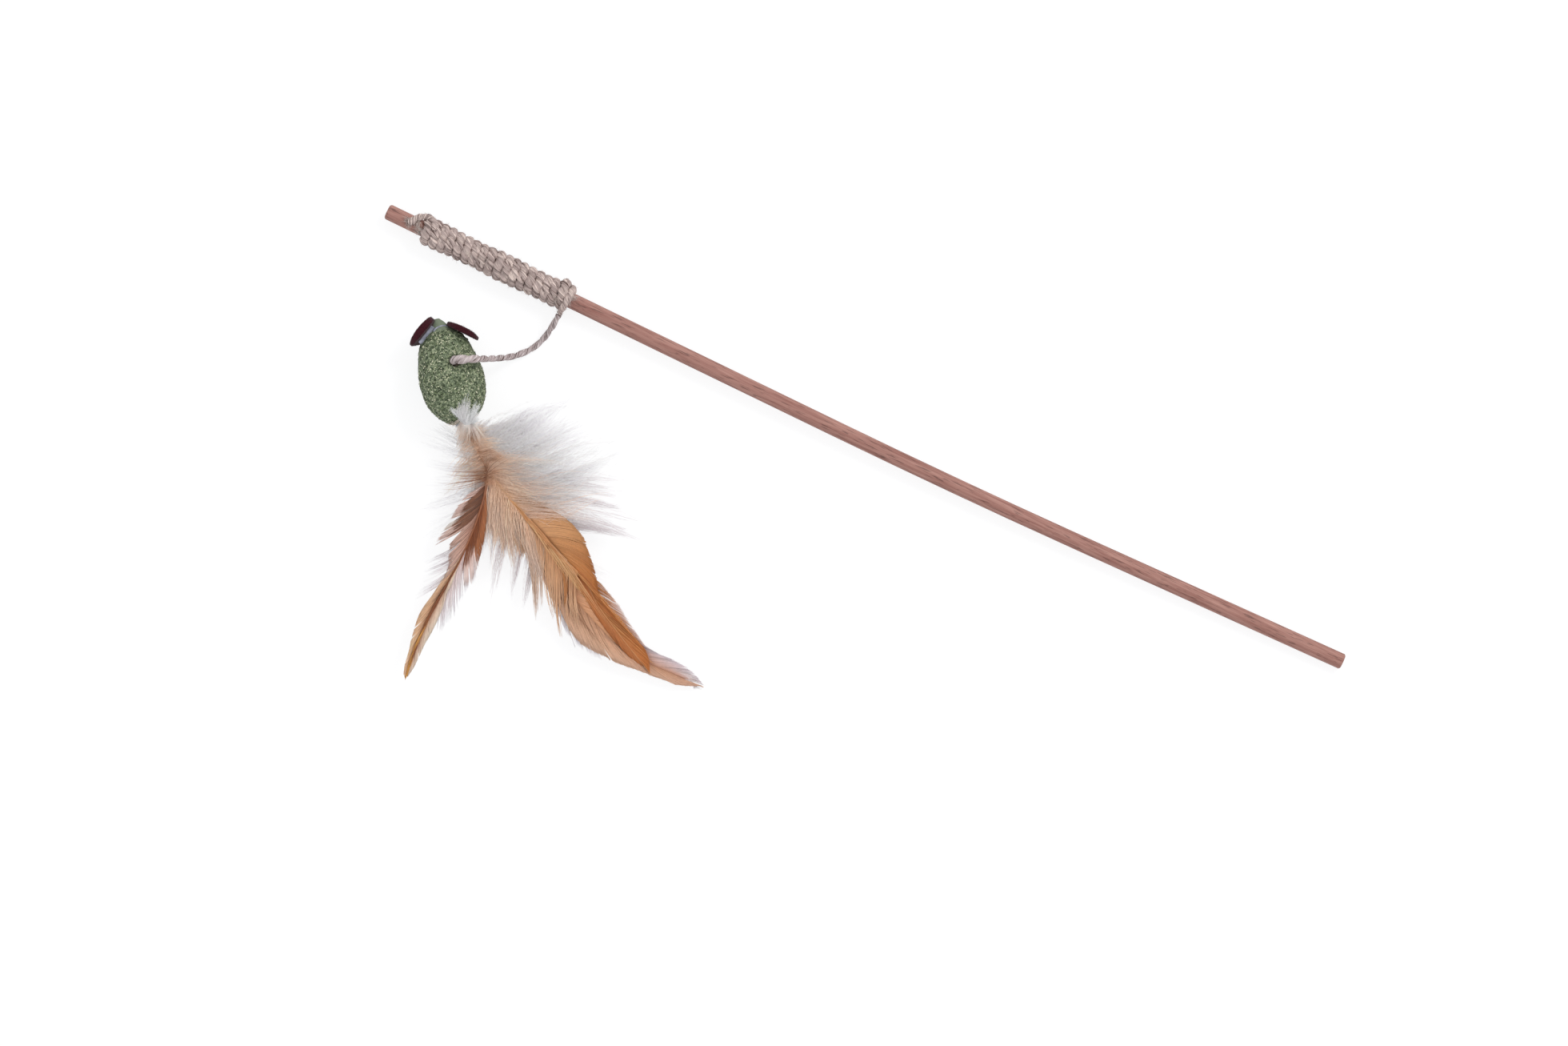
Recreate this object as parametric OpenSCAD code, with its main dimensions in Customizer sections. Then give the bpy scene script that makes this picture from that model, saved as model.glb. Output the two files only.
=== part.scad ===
// Cat teaser wand: a dowel with jute twine wound on its tip, and a catnip mouse with feathers on a lead.
// It lies on a table. X runs along the stick from its tip to its handle, and Z is up.

/* [Stick] */
// Length of the stick along its run
stick_length = 400; // [330:1:480]
// Diameter of the dowel
stick_diameter = 6; // [5.2:0.1:8]
// Length of the straight stretch at the tip
tip_stretch = 189; // [120:1:200]
// Length of the stretch over which the stick is bowed
bow_stretch = 100; // [60:1:120]
// Angle of the bow as seen from above
bow_angle = 1.55; // [0:0.05:2.5]
// Radius of the rounding at the tip
tip_rounding = 1; // [0.4:0.1:2]
// Size of the chamfer at the handle's end
handle_chamfer = 0.5; // [0.2:0.1:1.2]

/* [Twine on the stick] */
// Width of a strand of twine along the stick
strand_width = 2.4; // [2:0.05:2.5]
// Height of a strand pressed flat on the stick
strand_height = 2; // [1.6:0.1:2.4]
// Distance from the stick's tip to the first turn
winding_start = 16.2; // [13:0.1:30]
// Number of full turns
winding_turns = 17; // [10:1:20]
// Distance between one turn and the next
winding_pitch = 3.34; // [3.25:0.01:3.6]
// How far a turn strays from its place
hand_wobble = 0.25; // [0:0.05:0.3]

/* [Lead] */
// Diameter of the free twine
lead_diameter = 2.4; // [2:0.1:2.6]

/* [Mouse] */
// Length of the mouse from nose to rear
mouse_length = 41.3; // [38:0.1:48]
// Diameter of the mouse at its widest
mouse_diameter = 24.6; // [23:0.1:28]
// Depth of the flat under the belly
belly_flat = 0.85; // [0.5:0.05:1.5]
// Heading of the mouse, from nose to rear
mouse_heading = -49.6; // [-60:0.1:-45]
// Place of the back hole along the stick
hole_x = 48.5; // [45:0.1:52]
// Place of the back hole across the stick
hole_y = -39.7; // [-44:0.1:-39]
// Distance from the nose to the back hole
hole_station = 17.4; // [15:0.1:19]
// Distance of the back hole from the middle, towards the lead
hole_offset = 3.3; // [2:0.1:4]
// Diameter of the back hole
hole_diameter = 4.2; // [3.6:0.1:5]
// Depth of the back hole
hole_depth = 14; // [10:0.5:16]
// Diameter of the rear hole
rear_hole_diameter = 6; // [5.4:0.1:7]
// Depth of the rear hole
rear_hole_depth = 10; // [8:0.5:13]

/* [Ears] */
// Width of an ear
ear_width = 13.2; // [11:0.1:14.5]
// Height of an ear
ear_height = 13.4; // [12:0.1:15]
// Thickness of the felt
ear_thickness = 2.2; // [1.6:0.1:2.6]
// Height of the ears' lower edge above the table
ear_rise = 6; // [4:0.1:8]
// Lean of the left ear away from the head
left_ear_lean = 9; // [0:1:12]
// Diameter of the glue beads
glue_bead = 3.4; // [3:0.1:4.2]
// Length of the glue beads
glue_run = 8; // [5:0.5:10]

/* [Feathers] */
// Length of the brown feather
brown_length = 97; // [80:1:115]
// Length of the golden feather
gold_length = 117; // [100:1:130]
// Length of the rose feather
rose_length = 134; // [115:1:150]
// Widest half of the brown vane
brown_width = 9.5; // [7:0.1:10.5]
// Widest half of the golden vane
gold_width = 10; // [8:0.1:11]
// Widest half of the rose vane
rose_width = 11.2; // [9:0.1:12]
// Reach of the down from its quill
down_reach = 26; // [20:0.5:28]
// Diameter of a quill at its root
quill_diameter = 1.2; // [0.9:0.05:1.3]
// Thickness of a vane at the quill
vane_thickness = 0.6; // [0.4:0.05:0.8]
// Thickness of the down at the quill
down_thickness = 1; // [0.7:0.05:1.1]
// Height from one feather to the next
feather_step = 1.7; // [1.6:0.05:1.9]
// How far the longest feather hangs at its tip
feather_droop = 8.4; // [5:0.1:8.5]

/* [Hidden] */

// Clearances: under the winding, between bodies that move, between glued faces, beside a quill, and the
// cuts' overrun
wound_gap = 0.12;
body_gap = 0.4;
seat_gap = 0.08;
web_gap = 0.14;
overrun = 1;

stick_radius = stick_diameter / 2;
winding_radius = stick_radius + wound_gap + strand_height / 2;
winding_outside = winding_radius + strand_height / 2;
axis_height = winding_outside;

// The bow turns the stick sideways, and down until the handle rests on the table. The bowed stretch is a
// hair thinner, so that the straight ones are let into it.
bow_relief = 0.01;
bow_arm = stick_length - tip_stretch - bow_stretch / 2;
bow_fall = asin((axis_height - stick_radius) / bow_arm);
bow_bend = norm([bow_angle, bow_fall]);
bow_roll = atan2(-bow_fall, bow_angle);
bow_radius = bow_stretch * 180 / (PI * bow_bend);
handle_length = stick_length - tip_stretch - bow_stretch;
handle_start = [tip_stretch + bow_radius * sin(bow_bend), bow_radius * (1 - cos(bow_bend))];
handle_far = handle_start + handle_length * [cos(bow_bend), sin(bow_bend)];

// A turn has this many rings of this many sides
turn_rings = 24;
strand_sides = 6;
round_sides = 8;
first_angle = 10;
last_angle = first_angle + 360 * winding_turns - 30;
wobble_angle = 83;

// The mouse's middle line runs level at this height, and its nose is here
mouse_height = mouse_diameter / 2 - belly_flat;
mouse_turn = [cos(mouse_heading), sin(mouse_heading)];
nose = [hole_x, hole_y] - hole_station * mouse_turn - hole_offset * [-mouse_turn.y, mouse_turn.x];

// Shares of the mouse's length, and the shares of its radius there
egg_shares = [[0, 0.09], [0.036, 0.165], [0.075, 0.21], [0.11, 0.32], [0.145, 0.46], [0.18, 0.6],
    [0.22, 0.72], [0.26, 0.775], [0.33, 0.85], [0.41, 0.92], [0.5, 0.975], [0.58, 1], [0.66, 0.99],
    [0.73, 0.945], [0.8, 0.87], [0.87, 0.73], [0.93, 0.55], [0.97, 0.37], [0.99, 0.22], [1, 0.06]];
egg_steps = 48;

// Ears: place along the mouse from its nose and across it, and the turn of the ear from its middle line
left_ear_shares = [0.1017, -0.2358];
left_ear_place = [mouse_length * left_ear_shares.x, mouse_diameter * left_ear_shares.y];
left_ear_turn = -53;
right_ear_shares = [0.1683, 0.3577];
right_ear_place = [mouse_length * right_ear_shares.x, mouse_diameter * right_ear_shares.y];
right_ear_turn = 49.6;
ear_sides = 40;
ear_foot_share = 0.86;
bead_rise_share = 0.62;

// Share of the back hole's depth that the twine's end fills
anchor_depth_share = 0.6;

// Tuft of down that lies on the mouse's rump: its place along the mouse, off its middle line, and sizes
rump_station_share = 0.85;
rump_offset = 3.4;
rump_tuft = 10;
tuft_thickness = 1.2;
tuft_shares = [[1, -0.58], [0.92, 0.08], [0.72, 0.62], [0.4, 0.92], [0, 1]];
tuft_root_share = 2.5;

// Feathers start this far behind the mouse, all bend down alike, and head away from its middle line
root = [mouse_length + body_gap, 0];
brown_heading = -27.3;
gold_heading = 22.4;
rose_heading = 27.9;
feather_steps = 32;
down_steps = 18;
quill_tip_share = 0.3;
thin_edge_share = 0.45;

// Middle line of each feather: shares of its length along and across its heading
brown_line_shares = [[0, 0], [0.075, 0.072], [0.16, 0.13], [0.245, 0.139], [0.35, 0.131], [0.45, 0.115],
    [0.55, 0.092], [0.65, 0.061], [0.75, 0.032], [0.85, 0.013], [1, 0]];
gold_line_shares = [[0, 0], [0.09, -0.013], [0.165, -0.026], [0.27, -0.026], [0.38, -0.017], [0.52, -0.003],
    [0.63, 0.011], [0.74, -0.004], [0.85, -0.004], [1, 0]];
rose_line_shares = [[0, 0], [0.14, -0.044], [0.3, -0.07], [0.465, -0.092], [0.59, -0.102], [0.71, -0.102],
    [0.81, -0.084], [0.905, -0.043], [1, 0]];

// Vanes: share of the feather's length, and the width there as a share of the vane's width
brown_left_shares = [[0.2, 0.02], [0.245, 0.1], [0.285, 0.26], [0.37, 0.47], [0.45, 0.63], [0.51, 0.7],
    [0.57, 0.73], [0.645, 0.78], [0.705, 0.72], [0.77, 0.56], [0.83, 0.29], [0.905, 0.23], [0.965, 0.13],
    [1, 0.02]];
brown_right_shares = [[0.2, 0.03], [0.235, 0.3], [0.275, 0.68], [0.36, 0.89], [0.43, 1], [0.455, 0.96],
    [0.485, 0.55], [0.51, 0.45], [0.57, 0.26], [0.65, 0.26], [0.71, 0.36], [0.765, 0.39], [0.83, 0.31],
    [0.9, 0.21], [0.96, 0.16], [1, 0.02]];
gold_left_shares = [[0.3, 0.12], [0.33, 0.42], [0.36, 0.55], [0.425, 0.84], [0.485, 0.99], [0.53, 1],
    [0.585, 0.72], [0.635, 0.4], [0.7, 0.12], [0.75, 0.14], [0.84, 0.28], [0.92, 0.18], [1, 0.02]];
gold_right_shares = [[0.3, 0.12], [0.32, 0.42], [0.35, 0.84], [0.41, 0.92], [0.48, 0.88], [0.535, 0.66],
    [0.6, 0.4], [0.665, 0.22], [0.75, 0.2], [0.86, 0.2], [0.935, 0.15], [1, 0.02]];
rose_left_shares = [[0.42, 0.2], [0.5, 0.62], [0.56, 0.9], [0.605, 1], [0.685, 0.82], [0.735, 0.74],
    [0.8, 0.45], [0.86, 0.4], [0.905, 0.39], [0.945, 0.27], [0.985, 0.09], [1, 0.02]];
rose_right_shares = [[0.42, 0.25], [0.52, 0.45], [0.595, 0.6], [0.64, 0.8], [0.68, 0.77], [0.72, 0.62],
    [0.78, 0.49], [0.82, 0.37], [0.88, 0.3], [0.93, 0.28], [0.965, 0.18], [1, 0.02]];

// Down: share of the length at the quill, share of the length that a barb's end reaches, share of the reach
brown_down_left_shares = [[0.02, 0.025, 0.06], [0.06, 0.08, 0.14], [0.1, 0.14, 0.2], [0.15, 0.2, 0.2],
    [0.19, 0.26, 0.08]];
brown_down_right_shares = [[0.02, 0.025, 0.12], [0.05, 0.06, 0.24], [0.08, 0.12, 0.38], [0.12, 0.19, 0.5],
    [0.15, 0.27, 0.56], [0.18, 0.33, 0.46]];
gold_down_left_shares = [[0.015, 0.02, 0.06], [0.05, 0.07, 0.16], [0.09, 0.12, 0.27], [0.15, 0.2, 0.34],
    [0.21, 0.28, 0.27], [0.27, 0.33, 0.2]];
gold_down_right_shares = [[0.015, 0.02, 0.07], [0.06, 0.09, 0.18], [0.11, 0.17, 0.34], [0.16, 0.25, 0.54],
    [0.22, 0.32, 0.58], [0.28, 0.36, 0.5]];
rose_down_left_shares = [[0.015, 0.02, 0.1], [0.03, 0.035, 0.3], [0.05, 0.06, 0.6], [0.07, 0.085, 0.84],
    [0.1, 0.13, 1.02], [0.135, 0.2, 1], [0.17, 0.27, 1.08], [0.205, 0.34, 1.06], [0.24, 0.41, 1.02],
    [0.275, 0.46, 0.95], [0.31, 0.505, 0.82], [0.35, 0.515, 0.62], [0.39, 0.52, 0.4]];
rose_down_right_shares = [[0.015, 0.02, 0.06], [0.08, 0.1, 0.14], [0.15, 0.18, 0.22], [0.25, 0.29, 0.3],
    [0.34, 0.38, 0.26], [0.4, 0.43, 0.2]];

// Hitches: share of the pitch before the first or past the last turn, angle round the stick, share of
// the strand's height that the twine stands off
tip_hitch_shares = [[-0.12, -44, 0.42], [-0.3, -58, 0.3], [-0.6, -66, 0.15], [-0.93, -62, 0.06],
    [-1.15, -46, 0], [-1.24, -24, 0], [-1.28, -2, 0], [-1.36, 18, 0.02], [-1.5, 38, 0.04],
    [-1.68, 56, 0.04], [-1.8, 72, 0.04], [-1.79, 86, 0.02], [-1.62, 96, 0], [-1.33, 101, 0],
    [-1, 102, 0], [-0.68, 102, 0]];
lock_hitch_shares = [[0.17, 30, 0.36], [0.32, 50, 0.2], [0.44, 70, 0.08], [0.48, 90, 0.04], [0.45, 110, 0.02],
    [0.39, 130, 0], [0.35, 150, 0], [0.35, 170, 0], [0.38, 190, 0], [0.43, 210, 0], [0.5, 230, 0],
    [0.58, 250, 0], [0.66, 270, 0], [0.75, 290, 0], [0.84, 310, 0], [0.93, 330, 0], [1.03, 350, 0],
    [1.13, 370, 0.01], [1.23, 390, 0.02], [1.32, 410, 0.04], [1.38, 430, 0.04], [1.4, 450, 0.04],
    [1.34, 468, 0.06], [1.24, 487, 0.18], [1.13, 504, 0.52], [1.05, 517, 1.02]];

// The free twine runs through these points, from the hitch to the hole in the mouse's back
lead_route = [[76.2, -7.1, 6.9], [76.1, -10, 5.8], [75.7, -13.5, 4.1], [74.9, -17.3, 2.35], [73.5, -21, 1.5],
    [71.6, -24.1, 1.5], [69.4, -26.7, 2.5], [67.2, -28.7, 4.5], [65, -30.3, 7.4], [63, -31.6, 10.9],
    [61.1, -32.7, 14.6], [59.3, -33.7, 18.2], [57.8, -34.5, 21.3], [56.6, -35.1, 23.4], [55.5, -35.7, 24.8],
    [54.3, -36.4, 25.7], [52.8, -37.2, 26.1], [51.2, -38.1, 25.7], [49.75, -38.95, 24.55],
    [48.8, -39.5, 22.8], [48.5, -39.7, 20.4]];

// End of the twine in the back hole, under the free twine's last point
anchor_top = lead_route[len(lead_route) - 1].z - body_gap;
anchor_length = hole_depth * anchor_depth_share;

function unit(v) = v / norm(v);

// Direction of a path at one of its points
function way(path, i) = unit(path[min(i + 1, len(path) - 1)] - path[max(i - 1, 0)]);

// Slope of a table's column at a row, level at its peaks, so that a curve through it never overshoots
function slope(table, i, c) =
    let (
        last = len(table) - 1,
        j = max(1, min(last - 1, i)),
        before = (table[j][c] - table[j - 1][c]) / (table[j][0] - table[j - 1][0]),
        after = (table[j + 1][c] - table[j][c]) / (table[j + 1][0] - table[j][0])
    )
    i == 0 ? before : i == last ? after : before * after <= 0 ? 0 : 2 * before * after / (before + after);

// Value of a table's column on a smooth curve through its rows, at a value of its first column
function smooth(table, s, c = 1) =
    let (
        i = max([0, for (k = [0 : len(table) - 2]) if (table[k][0] <= s) k]),
        span = table[i + 1][0] - table[i][0],
        u = (s - table[i][0]) / span,
        rise = table[i + 1][c] - table[i][c],
        a = slope(table, i, c) * span,
        b = slope(table, i + 1, c) * span
    )
    table[i][c] + a * u + (3 * rise - 2 * a - b) * u * u + (a + b - 2 * rise) * u * u * u;

// Ring of a tube: its middle, the way it runs, the side that faces out, and its width and height
function ring(middle, run, out, width, height, sides) =
    let (
        up = unit(out - (out * run) * run),
        side = cross(run, up)
    )
    [for (k = [0 : sides - 1]) let (a = 360 * k / sides)
        middle + side * width / 2 * cos(a) + up * height / 2 * sin(a)];

// Closed skin over rings of points, which turn anticlockwise as seen along their run
module skin(rings) {
    n = len(rings[0]);
    last = (len(rings) - 1) * n;
    walls = [for (i = [0 : len(rings) - 2], k = [0 : n - 1])
        let (a = i * n + k, b = i * n + (k + 1) % n)
        each [[a, b, b + n], [a, b + n, a + n]]];
    caps = [for (k = [1 : n - 2]) each [[0, k + 1, k], [last, last + k, last + k + 1]]];
    polyhedron([for (r = rings) each r], concat(walls, caps));
}

// A place round the stick: distance from the tip, angle from the +Y side, and distance from the axis
function round_stick(x, angle, off) = [x, off * cos(angle), off * sin(angle)];
function off_stick(p) = [0, p.y, p.z];

// Middle line of the wound twine, with a straight length of one strand at each end
function winding_point(angle) =
    let (turn = (angle - first_angle) / 360)
    round_stick(winding_start + winding_pitch * turn + hand_wobble * sin(wobble_angle * turn),
        angle, winding_radius);
winding_curve = [for (i = [0 : (last_angle - first_angle) * turn_rings / 360])
    winding_point(first_angle + 360 * i / turn_rings)];
winding_first = winding_curve[0] - strand_width * way(winding_curve, 0);
winding_last = winding_curve[len(winding_curve) - 1]
    + strand_width * way(winding_curve, len(winding_curve) - 1);
winding_path = concat([winding_first], winding_curve, [winding_last]);
winding_end_x = winding_start + winding_pitch * (last_angle - first_angle) / 360;

// Wound twine is six-sided, flat where it lies on the stick
function strand_rings(path) = [for (i = [0 : len(path) - 1])
    ring(path[i], way(path, i), off_stick(path[i]), strand_width,
        strand_height / cos(180 / strand_sides), strand_sides)];

// Least gap between each turn and the next, measured between the corners of their rings
function turn_gap() =
    let (rings = strand_rings(winding_path), n = len(rings))
    min([for (i = [0 : n - 1], j = [i + turn_rings - 2 : min(i + turn_rings + 2, n - 1)])
        each [for (a = rings[i], b = rings[j]) norm(a - b)]]);

// Hitches start where the winding's straight ends stop
tip_run = -way(winding_path, 0);
lock_run = way(winding_path, len(winding_path) - 1);
function hitch_start(from, run) =
    [from + seat_gap * run, from + (seat_gap + strand_height / 2) * run];
function hitch_rows(rows, x) = [for (r = rows)
    round_stick(x + winding_pitch * r[0], r[1], winding_radius + strand_height * r[2])];
tip_hitch_path = concat(hitch_start(winding_first, tip_run),
    hitch_rows(tip_hitch_shares, winding_start));
lock_hitch_path = concat(hitch_start(winding_last, lock_run),
    hitch_rows(lock_hitch_shares, winding_end_x));

// How far a feather hangs below its root, by the distance from the root
function fall(p) = feather_droop * pow(norm([p.x, p.y]) / rose_length, 2);
function hang(p, off) = [p.x, p.y, off - fall(p)];

// Middle line of a feather from its root, seen from above, and its direction
function line_point(line, length, s) = length * [s, smooth(line, s)];
function line_way(line, length, s) =
    let (e = 1 / feather_steps)
    unit(line_point(line, length, min(1, s + e)) - line_point(line, length, max(0, s - e)));
function quill_radius(s) = quill_diameter / 2 * (1 - (1 - quill_tip_share) * s);

// How fast the mouse widens along its middle line, at a share of its length
function slope_of_egg(s) =
    let (e = 1 / egg_steps)
    mouse_diameter / 2 * (smooth(egg_shares, s + e) - smooth(egg_shares, s - e)) / (2 * e * mouse_length);

// Egg-shaped body of the mouse, drawn along its middle line from the nose and grown on all sides
module egg(grow) {
    outline = [for (i = [0 : egg_steps]) let (s = i / egg_steps)
        [mouse_diameter / 2 * smooth(egg_shares, s) + grow, mouse_length * s]];
    rotate([0, 90, 0])
    rotate_extrude($fn = 96)
    polygon(concat([[0, -grow]], [[outline[0].x, -grow]], outline,
        [[outline[egg_steps].x, mouse_length + grow]], [[0, mouse_length + grow]]));
}

// Puts a piece on the mouse: x along its middle line from the nose, y across it, z from that line
module on_mouse() {
    translate([nose.x, nose.y, mouse_height])
    rotate([0, 0, mouse_heading])
    children();
}

module wand_stick() {
    color([0.6, 0.38, 0.32])
    translate([0, 0, axis_height])
    rotate([bow_roll, 0, 0]) {
        rotate([0, 90, 0])
        rotate_extrude($fn = 96)
        union() {
            translate([0, tip_rounding])
            square([stick_radius, tip_stretch - tip_rounding]);
            square([stick_radius - tip_rounding, tip_stretch]);
            translate([stick_radius - tip_rounding, tip_rounding])
            circle(tip_rounding, $fn = 48);
        }
        translate([tip_stretch, bow_radius, 0])
        rotate([0, 0, -90])
        rotate_extrude(angle = bow_bend, $fn = 256)
        translate([bow_radius, 0])
        circle(stick_radius - bow_relief, $fn = 96);
        translate([handle_start.x, handle_start.y, 0])
        rotate([0, 90, bow_bend]) {
            translate([0, 0, -overrun])
            cylinder(handle_length - handle_chamfer + overrun, r = stick_radius, $fn = 96);
            translate([0, 0, handle_length - handle_chamfer])
            cylinder(handle_chamfer, stick_radius, stick_radius - handle_chamfer, $fn = 96);
        }
    }
}

module twine_winding() {
    color([0.66, 0.58, 0.52])
    translate([0, 0, axis_height])
    skin(strand_rings(winding_path));
    echo(least_gap_between_turns = turn_gap());
}

module tip_hitch() {
    color([0.7, 0.62, 0.55])
    translate([0, 0, axis_height])
    skin(strand_rings(tip_hitch_path));
}

module lock_hitch() {
    color([0.7, 0.62, 0.55])
    translate([0, 0, axis_height])
    skin(strand_rings(lock_hitch_path));
}

// Free twine, with a round end on which it swings at the hitch
module twine_lead() {
    path = lead_route;
    n = len(path);
    outs = [for (i = 0, u = [1, 0, 0]; i < n; i = i + 1,
        u = i < n ? unit(u - (u * way(path, i)) * way(path, i)) : u) u];
    dome = [for (a = [75, 45, 20]) ring(path[0] - way(path, 0) * lead_diameter / 2 * sin(a),
        way(path, 0), outs[0], lead_diameter * cos(a), lead_diameter * cos(a), round_sides)];
    color([0.66, 0.58, 0.52])
    skin(concat(dome, [for (i = [0 : n - 1])
        ring(path[i], way(path, i), outs[i], lead_diameter, lead_diameter, round_sides)]));
}

module mouse_body() {
    color([0.4, 0.47, 0.33])
    difference() {
        on_mouse() egg(0);
        translate([nose.x - mouse_length, nose.y - 2 * mouse_length, -mouse_length])
        cube([3 * mouse_length, 3 * mouse_length, mouse_length]);
        on_mouse() {
            translate([hole_station, hole_offset, mouse_diameter / 2 - hole_depth])
            cylinder(hole_depth + overrun, d = hole_diameter, $fn = 48);
            translate([mouse_length - rear_hole_depth, 0, 0])
            rotate([0, 90, 0])
            cylinder(rear_hole_depth + overrun, d = rear_hole_diameter, $fn = 48);
        }
    }
}

// Puts a piece on an ear: x along its width, y out from the head, z from the ear's lower edge
module on_ear(place, turn, out, lean) {
    on_mouse()
    translate([place.x, place.y, ear_rise - mouse_height])
    rotate([0, 0, turn])
    rotate([-out * lean, 0, 0])
    children();
}

// Oval of felt, narrower at its foot, standing on edge
module felt_oval(grow) {
    outline = [for (k = [0 : ear_sides - 1]) let (a = 360 * k / ear_sides, z = 1 + sin(a))
        [(ear_width / 2 + grow) * cos(a) * (ear_foot_share + (1 - ear_foot_share) * z),
            ear_height / 2 * z + grow * sin(a)]];
    translate([0, ear_thickness / 2 + grow, 0])
    rotate([90, 0, 0])
    linear_extrude(ear_thickness + 2 * grow)
    polygon(outline);
}

module ear(place, turn, out, lean) {
    color([0.23, 0.1, 0.13])
    difference() {
        on_ear(place, turn, out, lean) felt_oval(0);
        on_mouse() egg(seat_gap);
    }
}

module left_ear() ear(left_ear_place, left_ear_turn, -1, left_ear_lean);

module right_ear() ear(right_ear_place, right_ear_turn, 1, 0);

// Glue bead in the crease between the head and an ear's inner face
module ear_bead(place, turn, out, lean) {
    color([0.72, 0.68, 0.76])
    difference() {
        on_ear(place, turn, out, lean)
        translate([-glue_run / 2, -out * ear_thickness / 2, ear_height * bead_rise_share])
        rotate([0, 90, 0])
        cylinder(glue_run, d = glue_bead, $fn = 32);
        on_mouse() egg(seat_gap);
        on_ear(place, turn, out, lean) felt_oval(seat_gap);
    }
}

module left_ear_glue() ear_bead(left_ear_place, left_ear_turn, -1, left_ear_lean);

module right_ear_glue() ear_bead(right_ear_place, right_ear_turn, 1, 0);

module twine_anchor() {
    color([0.6, 0.52, 0.46])
    translate([hole_x, hole_y, anchor_top - anchor_length])
    cylinder(anchor_length, d = lead_diameter, $fn = 32);
}

module anchor_glue() {
    floor_height = mouse_height + mouse_diameter / 2 - hole_depth;
    color([0.72, 0.68, 0.76])
    difference() {
        translate([hole_x, hole_y, floor_height + seat_gap])
        cylinder(anchor_top - floor_height - 2 * seat_gap, d = hole_diameter - 2 * seat_gap, $fn = 48);
        translate([hole_x, hole_y, anchor_top - anchor_length - seat_gap])
        cylinder(anchor_length + overrun, d = lead_diameter + 2 * seat_gap, $fn = 32);
    }
}

// One place for each quill, one above another
module each_quill() {
    for (step = [-1 : 1])
        translate([0, 0, step * feather_step])
        children();
}

module feather_glue_plug() {
    color([0.72, 0.68, 0.76])
    on_mouse()
    difference() {
        translate([mouse_length - rear_hole_depth + seat_gap, 0, 0])
        rotate([0, 90, 0])
        cylinder(rear_hole_depth - seat_gap, d = rear_hole_diameter - 2 * seat_gap, $fn = 48);
        each_quill()
        translate([mouse_length - rear_hole_depth / 2 - seat_gap, 0, 0])
        rotate([0, 90, 0])
        cylinder(rear_hole_depth, d = quill_diameter + 2 * seat_gap, $fn = 32);
    }
}

module quill_roots() {
    color([0.8, 0.7, 0.58])
    on_mouse()
    each_quill()
    translate([mouse_length - rear_hole_depth / 2, 0, 0])
    rotate([0, 90, 0])
    cylinder(rear_hole_depth / 2, d = quill_diameter, $fn = 32);
}

// Dome of down over the rump, hollowed to the mouse's shape
module rear_down() {
    radius = mouse_diameter / 2 * smooth(egg_shares, rump_station_share);
    color([0.88, 0.85, 0.84])
    difference() {
        on_mouse()
        rotate([-asin(rump_offset / radius), 0, 0])
        translate([mouse_length * rump_station_share, 0, radius])
        rotate([0, atan(-slope_of_egg(rump_station_share)), 0])
        rotate_extrude($fn = 48)
        polygon(concat([[0, -tuft_thickness * tuft_root_share]],
            [[rump_tuft / 2, -tuft_thickness * tuft_root_share]],
            [for (t = tuft_shares) [rump_tuft / 2 * t[0], tuft_thickness * t[1]]]));
        on_mouse() egg(seat_gap);
    }
}

// Puts a feather at its root, on its own level
module on_root(heading, level) {
    on_mouse()
    translate([root.x, root.y, level * feather_step])
    rotate([0, 0, heading])
    children();
}

// Quill of a feather, thinner towards its tip
module quill(line, length) {
    path = [for (i = [0 : feather_steps]) let (s = i / feather_steps)
        hang(line_point(line, length, s), 0)];
    skin([for (i = [0 : feather_steps])
        ring(path[i], way(path, i), [0, 0, 1], 2 * quill_radius(i / feather_steps),
            2 * quill_radius(i / feather_steps), strand_sides)]);
}

// Web of barbs on one side of a quill: rows give a share of the length at the quill, one at the barb's
// end, and the barb's reach across, which is positive on the left. It thins towards its edge.
function web_rings(line, length, rows, thickness) = [for (r = rows)
    let (
        run = line_way(line, length, r[0]),
        across = [-run.y, run.x] * sign(r[2]),
        inner = line_point(line, length, r[0]) + across * (quill_radius(r[0]) + web_gap),
        end_run = line_way(line, length, r[1]),
        outer = line_point(line, length, r[1]) + [-end_run.y, end_run.x] * r[2],
        a = hang(inner, thickness / 2),
        b = hang(outer, thickness * thin_edge_share / 2),
        c = hang(outer, -thickness * thin_edge_share / 2),
        d = hang(inner, -thickness / 2)
    )
    r[2] > 0 ? [d, a, b, c] : [c, b, a, d]];

// Both webs of a vane, on smooth curves through their shares
module vane(line, length, width, left_shares, right_shares) {
    for (half = [[1, left_shares], [-1, right_shares]])
        let (first = half[1][0][0], last = 1)
        skin(web_rings(line, length, [for (i = [0 : feather_steps])
            let (s = first + (last - first) * i / feather_steps)
            [s, s, half[0] * (width * smooth(half[1], s) + quill_radius(s) + web_gap)]],
            vane_thickness));
}

// Both sides of a feather's down, on smooth curves through their shares
module down(line, length, left_shares, right_shares) {
    for (half = [[1, left_shares], [-1, right_shares]])
        let (first = half[1][0][0], last = half[1][len(half[1]) - 1][0])
        skin(web_rings(line, length, [for (i = [0 : down_steps])
            let (s = first + (last - first) * i / down_steps)
            [s, smooth(half[1], s),
                half[0] * (down_reach * smooth(half[1], s, 2) + quill_radius(s) + web_gap)]],
            down_thickness));
}

module brown_quill()
    color([0.32, 0.18, 0.12])
    on_root(brown_heading, 1)
    quill(brown_line_shares, brown_length);

module brown_vane()
    color([0.43, 0.25, 0.17])
    on_root(brown_heading, 1)
    vane(brown_line_shares, brown_length, brown_width, brown_left_shares, brown_right_shares);

module brown_down()
    color([0.86, 0.83, 0.83])
    on_root(brown_heading, 1)
    down(brown_line_shares, brown_length, brown_down_left_shares, brown_down_right_shares);

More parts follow.
